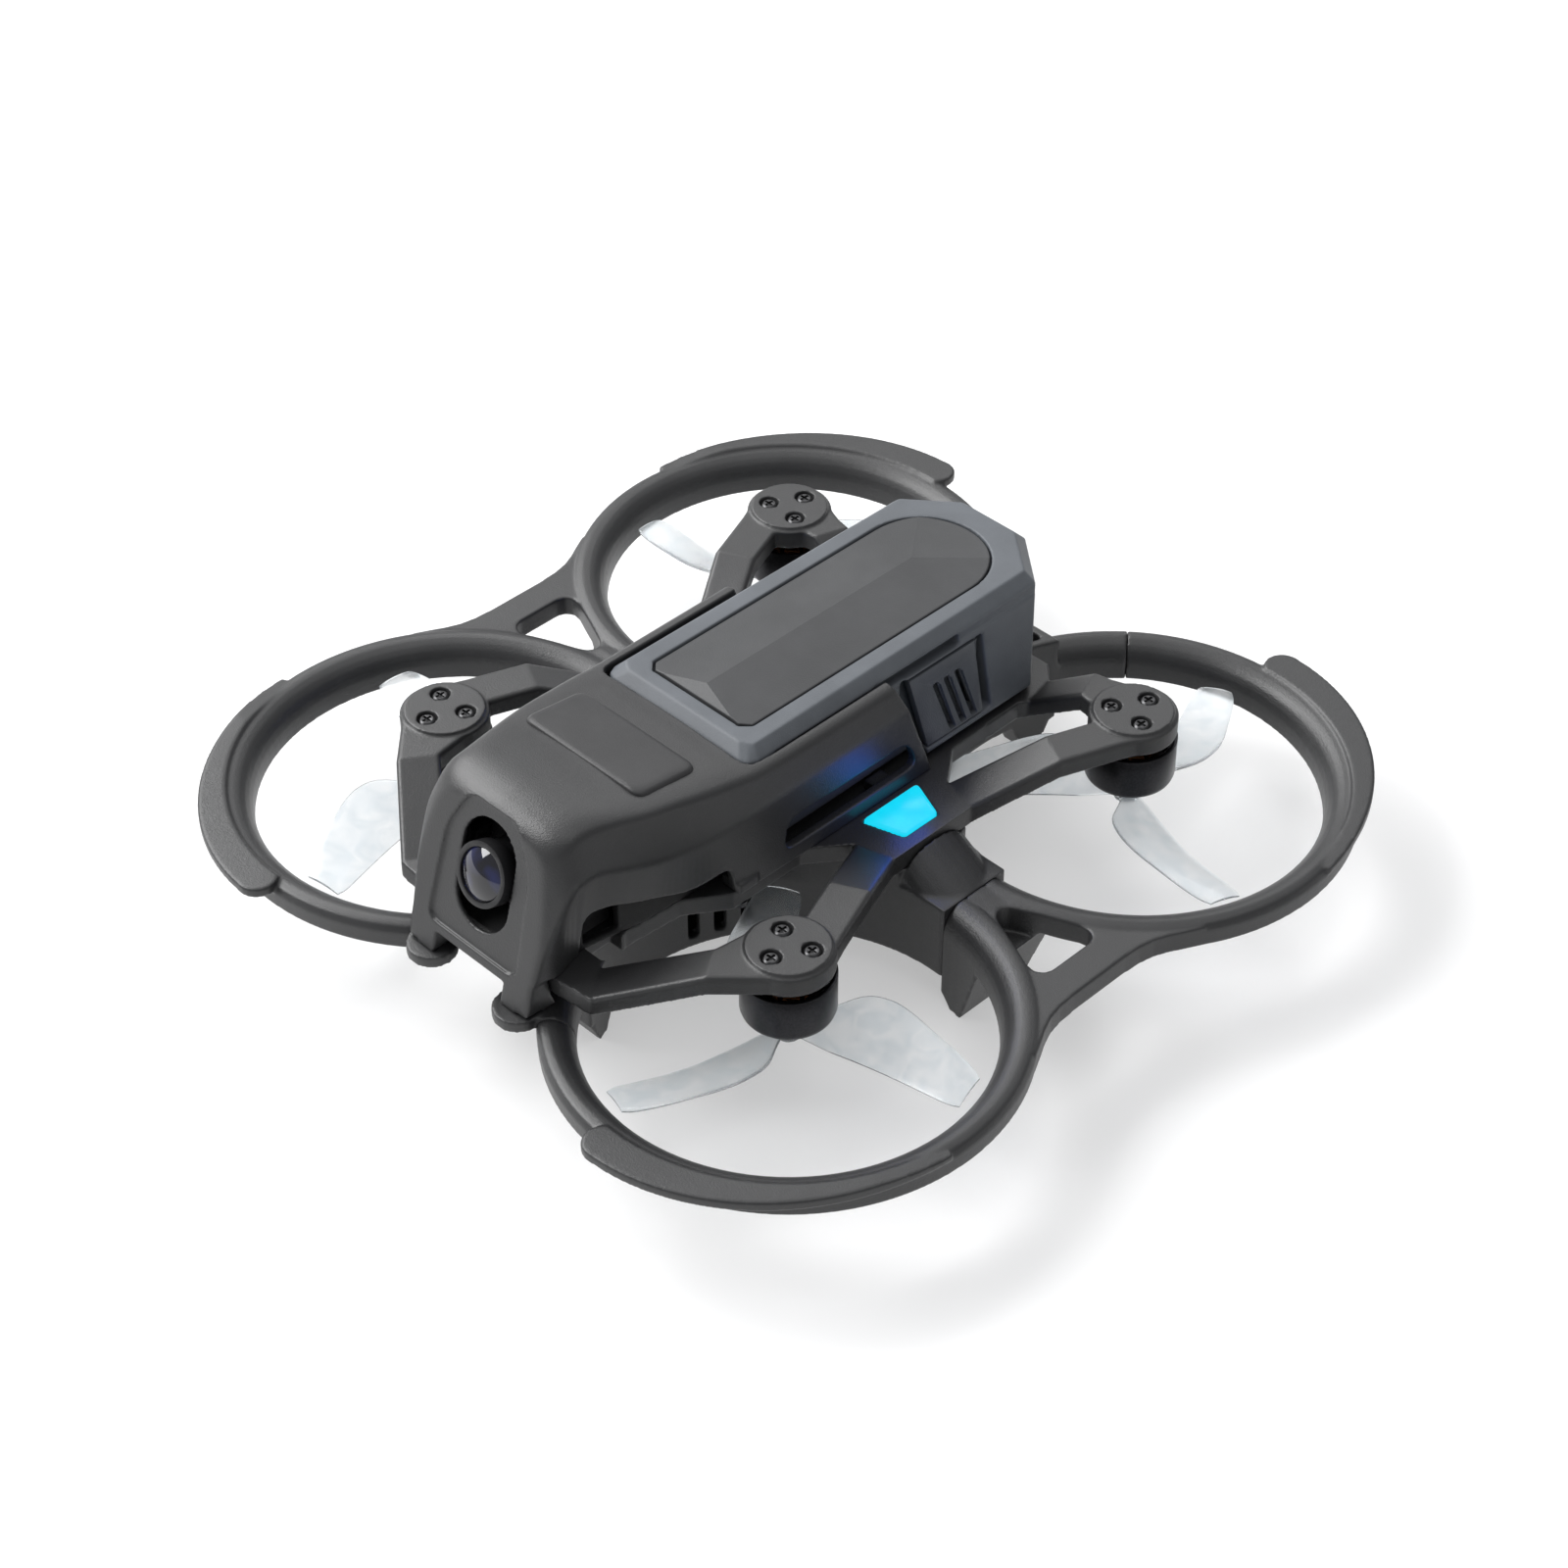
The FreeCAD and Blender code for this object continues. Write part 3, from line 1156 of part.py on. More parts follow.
# One blade: distance out, trailing edge (sideways, height) and leading edge (sideways, height).
BLADE = [
    (1.3, (-0.9, -0.8), (1.2, 0.6)),
    (4.5, (-0.7, -1.0), (5.2, 1.7)),
    (8.0, (-0.4, -1.4), (9.2, 2.8)),
    (12.0, (0.0, -1.5), (10.7, 3.0)),
    (16.0, (0.3, -1.6), (10.6, 2.5)),
    (21.0, (0.3, -1.5), (9.5, 1.7)),
    (26.0, (0.0, -1.2), (8.3, 1.0)),
    (29.6, (-0.2, -0.9), (7.1, 0.5)),
    (31.2, (0.2, -0.8), (6.1, 0.3)),
]
BLADE_PLANE = 16.5


def blade_section(out, trailing, leading, spin):
    """Thin cambered section across one blade."""
    thick = dim("blade_thickness")
    shares = [(0.0, 0.15), (0.3, 0.8), (0.65, 1.0), (1.0, 0.35)]
    upper = []
    lower = []
    for share, fullness in shares:
        across = trailing[0] + (leading[0] - trailing[0]) * share
        camber = 2.2 * share * (1.0 - share) * thick
        middle = BLADE_PLANE + trailing[1] + (leading[1] - trailing[1]) * share + camber
        upper.append((out, spin * across, middle + thick * fullness / 2.0))
        lower.append((out, spin * across, middle - thick * fullness / 2.0))
    return upper + lower[::-1]


def propeller(label, x, y, spin, first):
    shaft = dim("shaft_radius")
    profile = [(shaft, dim("hub_bottom")), (dim("hub_radius") - 0.3, dim("hub_bottom")),
               (dim("hub_radius"), dim("hub_bottom") + 0.4), (dim("hub_radius"), dim("bell_bottom")),
               (shaft, dim("bell_bottom"))]
    pieces = [revolve("hub_" + label, profile, x, y)]
    for index in range(3):
        blade = loft("blade_%s_%d" % (label, index), [blade_section(out, trailing, leading, spin)
                                                      for out, trailing, leading in BLADE])
        pieces.append(at_motor(blade, x, y, first + 120.0 * index))
    solid = fuse("propeller_joined_" + label, *pieces)
    bore = cylinder("propeller_bore_" + label, "Dims.shaft_radius", 8.0, x, y, 13.0)
    return give("propeller_" + label, cut("propeller_finished_" + label, solid, bore))


def cross_screw(name, x, y, z, shank_length):
    """Pan-head screw, head upwards, with a cross recess; z is the underside of the head."""
    head_radius = dim("screw_head_radius")
    head_height = dim("screw_head_height")
    shank = dim("screw_shank_radius")
    profile = [(0.0, z - shank_length), (shank, z - shank_length), (shank, z), (head_radius, z),
               (head_radius, z + head_height - 0.3), (head_radius - 0.35, z + head_height),
               (0.0, z + head_height)]
    body = revolve(name + "_body", profile, x, y)
    top = z + head_height
    bars = [block(name + "_bar_x", (x - 0.9, y - 0.22, top - 0.45), (x + 0.9, y + 0.22, top + 1.0)),
            block(name + "_bar_y", (x - 0.22, y - 0.9, top - 0.45), (x + 0.22, y + 0.9, top + 1.0))]
    return cut(name, body, *bars)


motor_screw_set = []
for label, x_side, y_side, spin, first in MOTORS:
    motor_x = x_side * motor_offset
    motor_y = y_side * motor_offset
    stator(label, motor_x, motor_y, y_side)
    windings(label, motor_x, motor_y)
    bell(label, motor_x, motor_y)
    magnets(label, motor_x, motor_y)
    motor_shaft(label, motor_x, motor_y)
    propeller(label, motor_x, motor_y, spin, first)
    for index, (sx, sy) in enumerate(screw_places(motor_x, motor_y, y_side)):
        motor_screw_set.append(cross_screw("motor_screw_%s_%d" % (label, index), sx, sy,
                                           boss_top - dim("screw_recess_depth"), 3.9))
give("motor_screws", group("motor_screw_group", *motor_screw_set))

chassis_screw_set = []
canopy_screw_set = []
for side in (1, -1):
    for index, y in enumerate(CHASSIS_SCREWS):
        chassis_screw_set.append(cross_screw("chassis_screw_%d_%d" % (side + 1, index), side * 3.4, y,
                                             deck_top - 1.1, 5.5))
    for index, y in enumerate(CANOPY_TABS):
        name = "canopy_screw_%d_%d" % (side + 1, index)
        shank = cylinder(name + "_shank", "Dims.screw_shank_radius", 5.4, side * TAB_X, y, deck_bottom)
        head = cylinder(name + "_head", "Dims.screw_head_radius", "Dims.screw_head_height", side * TAB_X,
                        y, deck_bottom - dim("screw_head_height"))
        canopy_screw_set.append(fuse(name, shank, head))
give("chassis_screws", group("chassis_screw_group", *chassis_screw_set))
give("canopy_screws", group("canopy_screw_group", *canopy_screw_set))


# ---------------------------------------------------------------- check and write

doc.recompute()
problems = []
for feature in doc.Objects:
    if "Invalid" in feature.State or "Error" in feature.State:
        problems.append("%s is %s" % (feature.Name, feature.State))
for feature in nodes:
    if feature.Shape.isNull() or not feature.Shape.isValid() or not feature.Shape.Solids:
        problems.append("%s has no valid solid" % feature.Label)
if problems:
    raise RuntimeError("; ".join(problems))

os.makedirs("parts", exist_ok=True)
for feature in nodes:
    feature.Shape.exportStep("parts/%s.step" % feature.Label)
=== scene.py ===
import json
import math

import bmesh
import bpy
from mathutils import Matrix, Vector


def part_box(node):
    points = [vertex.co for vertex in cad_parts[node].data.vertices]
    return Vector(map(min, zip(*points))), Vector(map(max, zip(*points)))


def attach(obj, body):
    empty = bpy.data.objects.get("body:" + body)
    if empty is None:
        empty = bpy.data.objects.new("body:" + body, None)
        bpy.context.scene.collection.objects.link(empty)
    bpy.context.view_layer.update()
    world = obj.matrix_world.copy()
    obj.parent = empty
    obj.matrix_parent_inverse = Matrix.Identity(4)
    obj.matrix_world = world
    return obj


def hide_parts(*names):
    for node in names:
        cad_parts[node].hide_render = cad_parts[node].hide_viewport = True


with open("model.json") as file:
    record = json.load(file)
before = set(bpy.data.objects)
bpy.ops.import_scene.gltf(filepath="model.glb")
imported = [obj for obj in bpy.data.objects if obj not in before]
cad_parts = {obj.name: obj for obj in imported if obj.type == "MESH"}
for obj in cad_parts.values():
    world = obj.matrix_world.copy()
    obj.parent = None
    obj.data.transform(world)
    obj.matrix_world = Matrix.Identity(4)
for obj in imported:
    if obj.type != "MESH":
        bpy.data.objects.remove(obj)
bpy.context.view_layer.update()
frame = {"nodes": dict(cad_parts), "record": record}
NODES = frame["nodes"]
SLOT_OF = {entry["node"]: entry["material_slot"] for entry in frame["record"]["subparts"]}
BODY_OF = {node: body for body, members in frame["record"]["behaviour"]["bodies"].items() for node in members}

# Shapes are given in millimetres in the shared frame: x to the drone's left, y to its tail, z up.
# Blender works in metres.
MM = 0.001
X_AXIS = 0
Z_AXIS = 2

# Handedness of each propeller, and the angle of its first blade in degrees.
PROPELLERS = {
    "front_right": (-1, -76.5),
    "front_left": (1, 11.4),
    "rear_left": (-1, -13.0),
    "rear_right": (1, -174.6),
}


# ---------------------------------------------------------------- materials

# Scales are in cycles per metre, depths in metres.
GRAIN_SCALE = 3600.0
MOTTLE_SCALE = 90.0
MOTTLE = 0.10
MARK_SCALE = 2600.0
MARK_DEPTH = 0.00001
STREAK_SQUEEZE = 0.06


def new_material(name):
    material = bpy.data.materials.new(name)
    material.use_nodes = True
    tree = material.node_tree
    shader = tree.nodes["Principled BSDF"]
    return material, tree, shader


def object_coordinates(tree):
    return tree.nodes.new("ShaderNodeTexCoord").outputs["Object"]


def add_noise(tree, scale, detail=2.0, roughness=0.5, distortion=0.0, place=None):
    """Noise in object space, or at the given place socket."""
    noise = tree.nodes.new("ShaderNodeTexNoise")
    noise.inputs["Scale"].default_value = scale
    noise.inputs["Detail"].default_value = detail
    noise.inputs["Roughness"].default_value = roughness
    noise.inputs["Distortion"].default_value = distortion
    if place is None:
        place = object_coordinates(tree)
    tree.links.new(place, noise.inputs["Vector"])
    return noise.outputs["Fac"]


def ramp_between(tree, factor, low, high, start=0.35, end=0.65):
    ramp = tree.nodes.new("ShaderNodeValToRGB")
    ramp.color_ramp.elements[0].position = start
    ramp.color_ramp.elements[1].position = end
    ramp.color_ramp.elements[0].color = low
    ramp.color_ramp.elements[1].color = high
    tree.links.new(factor, ramp.inputs["Fac"])
    return ramp.outputs["Color"]


def map_range(tree, factor, low, high):
    node = tree.nodes.new("ShaderNodeMapRange")
    node.inputs["To Min"].default_value = low
    node.inputs["To Max"].default_value = high
    tree.links.new(factor, node.inputs["Value"])
    return node.outputs["Result"]


def add_bump(tree, shader, height, depth):
    bump = tree.nodes.new("ShaderNodeBump")
    bump.inputs["Distance"].default_value = depth
    tree.links.new(height, bump.inputs["Height"])
    tree.links.new(bump.outputs["Normal"], shader.inputs["Normal"])


def shade(colour, amount):
    return (colour[0] * amount, colour[1] * amount, colour[2] * amount, 1.0)


def moulded(name, colour, roughness, grain=0.00005, specular=0.3):
    """Injection-moulded plastic: spark-eroded grain, faint colour mottling, uneven gloss."""
    material, tree, shader = new_material(name)
    shader.inputs["Specular IOR Level"].default_value = specular
    mottling = add_noise(tree, MOTTLE_SCALE, 4.0, 0.6)
    tint = ramp_between(tree, mottling, shade(colour, 1.0 - MOTTLE), shade(colour, 1.0 + MOTTLE))
    gloss = map_range(tree, mottling, roughness - 0.05, roughness + 0.05)
    tree.links.new(tint, shader.inputs["Base Color"])
    tree.links.new(gloss, shader.inputs["Roughness"])
    add_bump(tree, shader, add_noise(tree, GRAIN_SCALE, 2.0, 0.6), grain)
    return material


def metal(name, colour, roughness, streak_axis=None):
    """Machined or coated metal with fine marks, drawn out along one axis when streak_axis is given."""
    material, tree, shader = new_material(name)
    shader.inputs["Metallic"].default_value = 1.0
    stretch = tree.nodes.new("ShaderNodeMapping")
    factors = [STREAK_SQUEEZE if axis == streak_axis else 1.0 for axis in range(3)]
    stretch.inputs["Scale"].default_value = factors
    tree.links.new(object_coordinates(tree), stretch.inputs["Vector"])
    marks = add_noise(tree, MARK_SCALE, 3.0, place=stretch.outputs["Vector"])
    tint = ramp_between(tree, marks, shade(colour, 0.85), shade(colour, 1.1))
    gloss = map_range(tree, marks, roughness - 0.06, roughness + 0.08)
    tree.links.new(tint, shader.inputs["Base Color"])
    tree.links.new(gloss, shader.inputs["Roughness"])
    add_bump(tree, shader, marks, MARK_DEPTH)
    return material


def clear_blade():
    """Frosted clear polycarbonate with faint flow marks."""
    material, tree, shader = new_material("clear_blade")
    shader.inputs["Transmission Weight"].default_value = 0.91
    shader.inputs["IOR"].default_value = 1.45
    shader.inputs["Specular IOR Level"].default_value = 0.5
    flow = add_noise(tree, 260.0, 3.0, 0.55, 0.8)
    tint = ramp_between(tree, flow, (0.80, 0.85, 0.88, 1.0), (0.93, 0.95, 0.96, 1.0))
    tree.links.new(tint, shader.inputs["Base Color"])
    tree.links.new(map_range(tree, flow, 0.12, 0.26), shader.inputs["Roughness"])
    return material


def lit_guide():
    """Cyan light guide, evenly lit with slightly paler clouds."""
    material, tree, shader = new_material("light_lens")
    shader.inputs["Base Color"].default_value = (0.0, 0.02, 0.05, 1.0)
    shader.inputs["Roughness"].default_value = 0.25
    shader.inputs["Emission Strength"].default_value = 0.95
    cloud = add_noise(tree, 420.0, 2.0, 0.5)
    light = ramp_between(tree, cloud, (0.006, 0.70, 0.94, 1.0), (0.008, 0.74, 0.97, 1.0))
    tree.links.new(light, shader.inputs["Emission Color"])
    return material


def lens_with_painted_reflection():
    """Dark coated glass whose colour carries a painted violet-blue reflection that comes and goes."""
    material, tree, shader = new_material("lens_glass")
    shader.inputs["Roughness"].default_value = 0.04
    shader.inputs["IOR"].default_value = 1.6
    cloud = add_noise(tree, 240.0, 1.0)
    # Painted reflection: violet-blue patches in the colour stand in for the coating's reflection.
    tint = ramp_between(tree, cloud, (0.003, 0.003, 0.006, 1.0), (0.012, 0.016, 0.07, 1.0), 0.45, 0.75)
    tree.links.new(tint, shader.inputs["Base Color"])
    return material


def printed_board():
    """Green-black solder mask with copper traces showing through."""
    material, tree, shader = new_material("circuit_board")
    shader.inputs["Roughness"].default_value = 0.35
    traces = tree.nodes.new("ShaderNodeTexBrick")
    traces.inputs["Scale"].default_value = 260.0
    traces.inputs["Color1"].default_value = (0.010, 0.030, 0.022, 1.0)
    traces.inputs["Color2"].default_value = (0.014, 0.042, 0.030, 1.0)
    traces.inputs["Mortar"].default_value = (0.05, 0.10, 0.06, 1.0)
    traces.inputs["Mortar Size"].default_value = 0.012
    tree.links.new(object_coordinates(tree), traces.inputs["Vector"])
    tree.links.new(traces.outputs["Color"], shader.inputs["Base Color"])
    add_bump(tree, shader, traces.outputs["Fac"], 0.00003)
    return material


def copper():
    """Enamelled wire: fine parallel turns, darkened overall as painted shade for the gap under the bell, so
    that only glints of copper show.
    """
    material, tree, shader = new_material("copper_wire")
    shader.inputs["Metallic"].default_value = 0.9
    shader.inputs["Roughness"].default_value = 0.32
    turns = tree.nodes.new("ShaderNodeTexWave")
    turns.bands_direction = "Z"
    turns.inputs["Scale"].default_value = 900.0
    turns.inputs["Distortion"].default_value = 0.6
    tree.links.new(object_coordinates(tree), turns.inputs["Vector"])
    height = turns.outputs["Fac"]
    # Painted shade: both ends of the ramp are kept dark so the windings read as shaded, with copper glints on
    # the turns.
    tint = ramp_between(tree, height, (0.05, 0.016, 0.006, 1.0), (0.40, 0.16, 0.06, 1.0), 0.3, 0.8)
    tree.links.new(tint, shader.inputs["Base Color"])
    add_bump(tree, shader, height, 0.00008)
    return material


# Each plastic has its colour, roughness and, where it isn't the usual one, the depth of its grain.
MATERIALS = {
    "body_plastic": moulded("body_plastic", (0.020, 0.0202, 0.021), 0.40, specular=0.5),
    "badge_panel": moulded("badge_panel", (0.030, 0.030, 0.031), 0.40, 0.00003),
    "housing_plastic": moulded("housing_plastic", (0.007, 0.007, 0.0075), 0.55),
    "camera_shell": moulded("camera_shell", (0.014, 0.014, 0.015), 0.36, 0.000012),
    "lens_glass": lens_with_painted_reflection(),
    "circuit_board": printed_board(),
    "connector_plastic": moulded("connector_plastic", (0.010, 0.010, 0.011), 0.45, 0.00001),
    "connector_metal": metal("connector_metal", (0.62, 0.62, 0.64), 0.28),
    "light_lens": lit_guide(),
    "battery_shell": moulded("battery_shell", (0.088, 0.096, 0.107), 0.44, 0.00003),
    "battery_panel": moulded("battery_panel", (0.045, 0.046, 0.048), 0.42, 0.00003),
    "battery_grip": moulded("battery_grip", (0.070, 0.076, 0.085), 0.46),
    "cell_wrap": moulded("cell_wrap", (0.02, 0.06, 0.22), 0.22, 0.00001),
    "spacer_brass": metal("spacer_brass", (0.72, 0.50, 0.22), 0.25),
    "grommet_rubber": moulded("grommet_rubber", (0.012, 0.012, 0.012), 0.75, 0.00002),
    "screw_steel": metal("screw_steel", (0.06, 0.06, 0.062), 0.32),
    "stator_steel": metal("stator_steel", (0.05, 0.05, 0.055), 0.45),
    "copper_wire": copper(),
    "motor_black": metal("motor_black", (0.030, 0.030, 0.033), 0.30),
    "magnet_nickel": metal("magnet_nickel", (0.30, 0.30, 0.31), 0.3),
    "shaft_steel": metal("shaft_steel", (0.66, 0.66, 0.68), 0.2, Z_AXIS),
    "clear_blade": clear_blade(),
}


def paint(obj, slot):
    obj.data.materials.clear()
    obj.data.materials.append(MATERIALS[slot])


for node, obj in NODES.items():
    paint(obj, SLOT_OF.get(node, "body_plastic"))


# ---------------------------------------------------------------- mesh helpers

# Distances in millimetres, angles in degrees.
MERGE_DISTANCE = 0.004
SLIVER = 0.002
FLAT_ANGLE = 0.6
MOULDED_CREASE = 50.0
MACHINED_CREASE = 40.0
AXIS_HOLE = 0.0001


def link(name, data):
    """A new object in the scene, made from a mesh, lamp or camera."""
    obj = bpy.data.objects.new(name, data)
    bpy.context.scene.collection.objects.link(obj)
    return obj


def apply_modifiers(obj):
    bpy.context.view_layer.update()
    evaluated = obj.evaluated_get(bpy.context.evaluated_depsgraph_get())
    mesh = bpy.data.meshes.new_from_object(evaluated)
    obj.modifiers.clear()
    obj.data = mesh


def smooth(obj, crease):
    """Smooth shading, with the edges kept sharp where faces meet at more than the crease angle."""
    mesh = obj.data
    work = bmesh.new()
    work.from_mesh(mesh)
    for face in work.faces:
        face.smooth = True
    limit = math.radians(crease)
    for edge in work.edges:
        edge.smooth = len(edge.link_faces) == 2 and edge.calc_face_angle(0.0) < limit
    work.to_mesh(mesh)
    work.free()


def bevel(obj, width, segments, angle):
    modifier = obj.modifiers.new("bevel", "BEVEL")
    modifier.width = width * MM
    modifier.segments = segments
    modifier.limit_method = "ANGLE"
    modifier.angle_limit = math.radians(angle)
    modifier.use_clamp_overlap = True
    modifier.miter_outer = "MITER_ARC"
    modifier.harden_normals = False
    apply_modifiers(obj)


def tidy_faces(obj):
    """Join split vertices and dissolve edges inside flat faces."""
    work = bmesh.new()
    work.from_mesh(obj.data)
    bmesh.ops.remove_doubles(work, verts=work.verts, dist=MERGE_DISTANCE * MM)
    bmesh.ops.dissolve_degenerate(work, edges=work.edges, dist=SLIVER * MM)
    bmesh.ops.dissolve_limit(work, angle_limit=math.radians(FLAT_ANGLE), verts=work.verts, edges=work.edges,
                             use_dissolve_boundaries=False)
    bmesh.ops.recalc_face_normals(work, faces=work.faces)
    work.to_mesh(obj.data)
    work.free()


def settle(piece, node):
    """The piece stands for a CAD node: same body, same material slot."""
    slot = SLOT_OF[node]
    paint(piece, slot)
    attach(piece, BODY_OF[node])
    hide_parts(node)


def soften(obj, voxel, passes, keep=0.4, finish=None):
    """Round every edge like a moulding: remesh finely, relax, apply the given finish, thin out the faces."""
    remesh = obj.modifiers.new("remesh", "REMESH")
    remesh.mode = "VOXEL"
    remesh.voxel_size = voxel * MM
    relax = obj.modifiers.new("relax", "SMOOTH")
    relax.factor = 0.5
    relax.iterations = passes
    apply_modifiers(obj)
    if finish:
        finish(obj)
    thin = obj.modifiers.new("thin", "DECIMATE")
    thin.ratio = keep
    apply_modifiers(obj)
    smooth(obj, MOULDED_CREASE)


def copy_of(node):
    piece = link("fine_" + node, NODES[node].data.copy())
    tidy_faces(piece)
    return piece


def moulded_copy(node, voxel, passes):
    """A softened copy of a CAD node."""
    piece = copy_of(node)
    soften(piece, voxel, passes)
    settle(piece, node)


def refined(node, width, segments=2, angle=30.0, crease=MACHINED_CREASE):
    """A copy of a CAD node with its edges bevelled; facets that meet above the crease angle stay crisp."""
    piece = copy_of(node)
    bevel(piece, width, segments, angle)
    smooth(piece, crease)
    settle(piece, node)


def solid(name, vertices, faces):
    """A closed mesh from points in millimetres."""
    mesh = bpy.data.meshes.new(name)
    mesh.from_pydata([(x * MM, y * MM, z * MM) for x, y, z in vertices], [], faces)
    work = bmesh.new()
    work.from_mesh(mesh)
    bmesh.ops.recalc_face_normals(work, faces=work.faces)
    work.to_mesh(mesh)
    work.free()
    return link(name, mesh)


def strip(first, second, count):
    """Faces between two rings of vertices, given by the number of each ring's first vertex."""
    faces = []
    for index in range(count):
        following = (index + 1) % count
        faces.append((first + index, first + following, second + following, second + index))
    return faces


def loft(name, rings):
    """Closed skin through rings of equal point count, capped at both ends."""
    count = len(rings[0])
    last = (len(rings) - 1) * count
    faces = [tuple(range(count))]
    for row in range(len(rings) - 1):
        faces += strip(row * count, (row + 1) * count, count)
    faces.append(tuple(last + index for index in reversed(range(count))))
    return solid(name, [point for ring in rings for point in ring], faces)


def prism(name, outline, axis, low, high):
    """An outline extruded along an axis; the outline is given in the other two axes, in order."""
    def point(pair, along):
        values = list(pair)
        values.insert(axis, along)
        return tuple(values)
    return loft(name, [[point(pair, low) for pair in outline], [point(pair, high) for pair in outline]])


def box(name, low, high):
    outline = [(low[0], low[1]), (high[0], low[1]), (high[0], high[1]), (low[0], high[1])]
    return prism(name, outline, Z_AXIS, low[2], high[2])


def lathe(name, profile, x=0.0, y=0.0, steps=64):
    """A closed radius-height loop turned about an upright axis."""
    count = len(profile)
    vertices = []
    faces = []
    for step in range(steps):
        angle = 2.0 * math.pi * step / steps
        vertices += [(x + radius * math.cos(angle), y + radius * math.sin(angle), z) for radius, z in profile]
        faces += strip(step * count, (step + 1) % steps * count, count)
    return solid(name, vertices, faces)


def cylinder(name, radius, low, high, x=0.0, y=0.0, steps=64):
    """Upright cylinder with a pinhole along its axis, so that no face shrinks to a line."""
    return lathe(name, [(AXIS_HOLE, low), (radius, low), (radius, high), (AXIS_HOLE, high)], x, y, steps)


def is_closed(obj):
    mesh = bmesh.new()
    mesh.from_mesh(obj.data)
    closed = all(len(edge.link_faces) == 2 for edge in mesh.edges)
    mesh.free()
    return closed


def combine(target, operation, *tools):
    """Boolean with each tool in turn; the tools are used up."""
    for tool in tools:
        modifier = target.modifiers.new("boolean", "BOOLEAN")
        modifier.operation = operation
        modifier.solver = "MANIFOLD" if is_closed(target) and is_closed(tool) else "EXACT"
        modifier.object = tool
        apply_modifiers(target)
        bpy.data.objects.remove(tool)
    return target


def rounded(path, radii, steps):
    """A polyline with each inner corner replaced by a smooth curve that starts a radius before it."""
    result = [path[0]]
    for index in range(1, len(path) - 1):
        corner = Vector(path[index])
        before = Vector(path[index - 1]) - corner
        after = Vector(path[index + 1]) - corner
        reach = radii[index - 1]
        start = corner + before.normalized() * min(reach, before.length * 0.5)
        end = corner + after.normalized() * min(reach, after.length * 0.5)
        for step in range(steps + 1):
            t = step / steps
            point = start * (1 - t) ** 2 + corner * (2 * t * (1 - t)) + end * t ** 2
            result.append(tuple(point))
    result.append(path[-1])
    return result


def rounded_loop(outline, radius, steps=4):
    """A closed outline with every corner rounded."""
    closed = [outline[-1]] + list(outline) + [outline[0]]
    return rounded(closed, [radius] * len(outline), steps)[1:-1]


def spline(rows, at):
    """Smooth interpolation of table rows whose first column is the parameter, in rising order."""
    index = 0
    while index < len(rows) - 2 and at > rows[index + 1][0]:
        index += 1
    low, high = rows[index], rows[index + 1]
    span = high[0] - low[0]
    t = min(max((at - low[0]) / span, 0.0), 1.0)
    result = []
    for column in range(1, len(low)):
        def slope(middle):
            first = rows[max(middle - 1, 0)]
            last = rows[min(middle + 1, len(rows) - 1)]
            return (last[column] - first[column]) / (last[0] - first[0])
        start = slope(index) * span
        end = slope(index + 1) * span
        result.append(low[column] * (2 * t ** 3 - 3 * t ** 2 + 1) + start * (t ** 3 - 2 * t ** 2 + t)
                      + high[column] * (3 * t ** 2 - 2 * t ** 3) + end * (t ** 3 - t ** 2))
    return result


# ---------------------------------------------------------------- canopy

# Ranges that the cutting shapes span, across the part and upwards.
SIDEWAYS = (-40.0, 40.0)
UPRIGHT = (20.0, 60.0)

DECK_TOP = 26.5
HOOD_WALL = 1.5
FACE_WALL = 1.55
RING_SPACING = 1.1

# Depth, crown height, upper edge x and z, side crease x and z, foot x.
HOOD = [
    (-74.0, 44.0, 11.6, 38.0, 12.8, 31.0, 13.0),
    (-68.0, 46.6, 12.2, 41.0, 15.0, 33.0, 15.0),
    (-66.0, 48.0, 12.5, 43.0, 15.9, 37.0, 15.3),
    (-64.2, 49.5, 13.0, 46.6, 16.4, 41.0, 15.0),
    (-62.4, 51.0, 13.6, 49.0, 16.6, 43.2, 14.4),
    (-60.4, 51.8, 14.0, 50.0, 16.7, 43.8, 14.0),
    (-57.0, 52.0, 14.2, 50.4, 16.8, 43.6, 13.8),
    (-52.5, 51.4, 15.2, 50.0, 17.4, 42.0, 14.4),
    (-47.0, 50.4, 16.6, 49.2, 18.6, 40.6, 15.6),
    (-42.0, 49.8, 17.5, 48.6, 19.5, 40.2, 17.6),
    (-36.0, 49.0, 18.3, 47.7, 20.5, 40.4, 20.2),
    (-30.0, 48.2, 18.9, 46.9, 21.1, 41.0, 21.4),
    (-26.5, 47.6, 19.1, 46.4, 21.3, 41.2, 21.7),
    (-16.0, 47.2, 19.3, 46.2, 21.4, 41.4, 21.8),
    (16.0, 47.0, 19.4, 46.2, 21.4, 42.0, 21.8),
]
HOOD_FRONT = HOOD[0][0]
HOOD_BACK = HOOD[-1][0]
# The crown's two bends, as shares of the upper edge's x and of the drop from the crown to it.
FLANK_X, FLANK_DROP = 0.36, 0.08
SHOULDER_X, SHOULDER_DROP = 0.80, 0.36
# Radii of those two bends, the upper edge and the side crease.
HOOD_RADII = [4.0, 2.6, 1.1, 0.9]

# The nose ends in a leaning face with a recessed panel; places on it are across and up from its centre.
FACE_LEAN = math.radians(15.0)
FACE_CENTRE = Vector((0.0, -66.8, 38.5))
FACE_UP = Vector((0.0, math.sin(FACE_LEAN), math.cos(FACE_LEAN)))
FACE_OUT = Vector((0.0, -math.cos(FACE_LEAN), math.sin(FACE_LEAN)))
PANEL = [(-10.4, -13.2), (10.4, -13.2), (9.4, 4.6), (5.6, 12.2), (-5.6, 12.2), (-9.4, 4.6)]
PANEL_DEPTH = 0.6
WINDOW_RADIUS = 6.0
WINDOW_STRAIGHT = 3.9

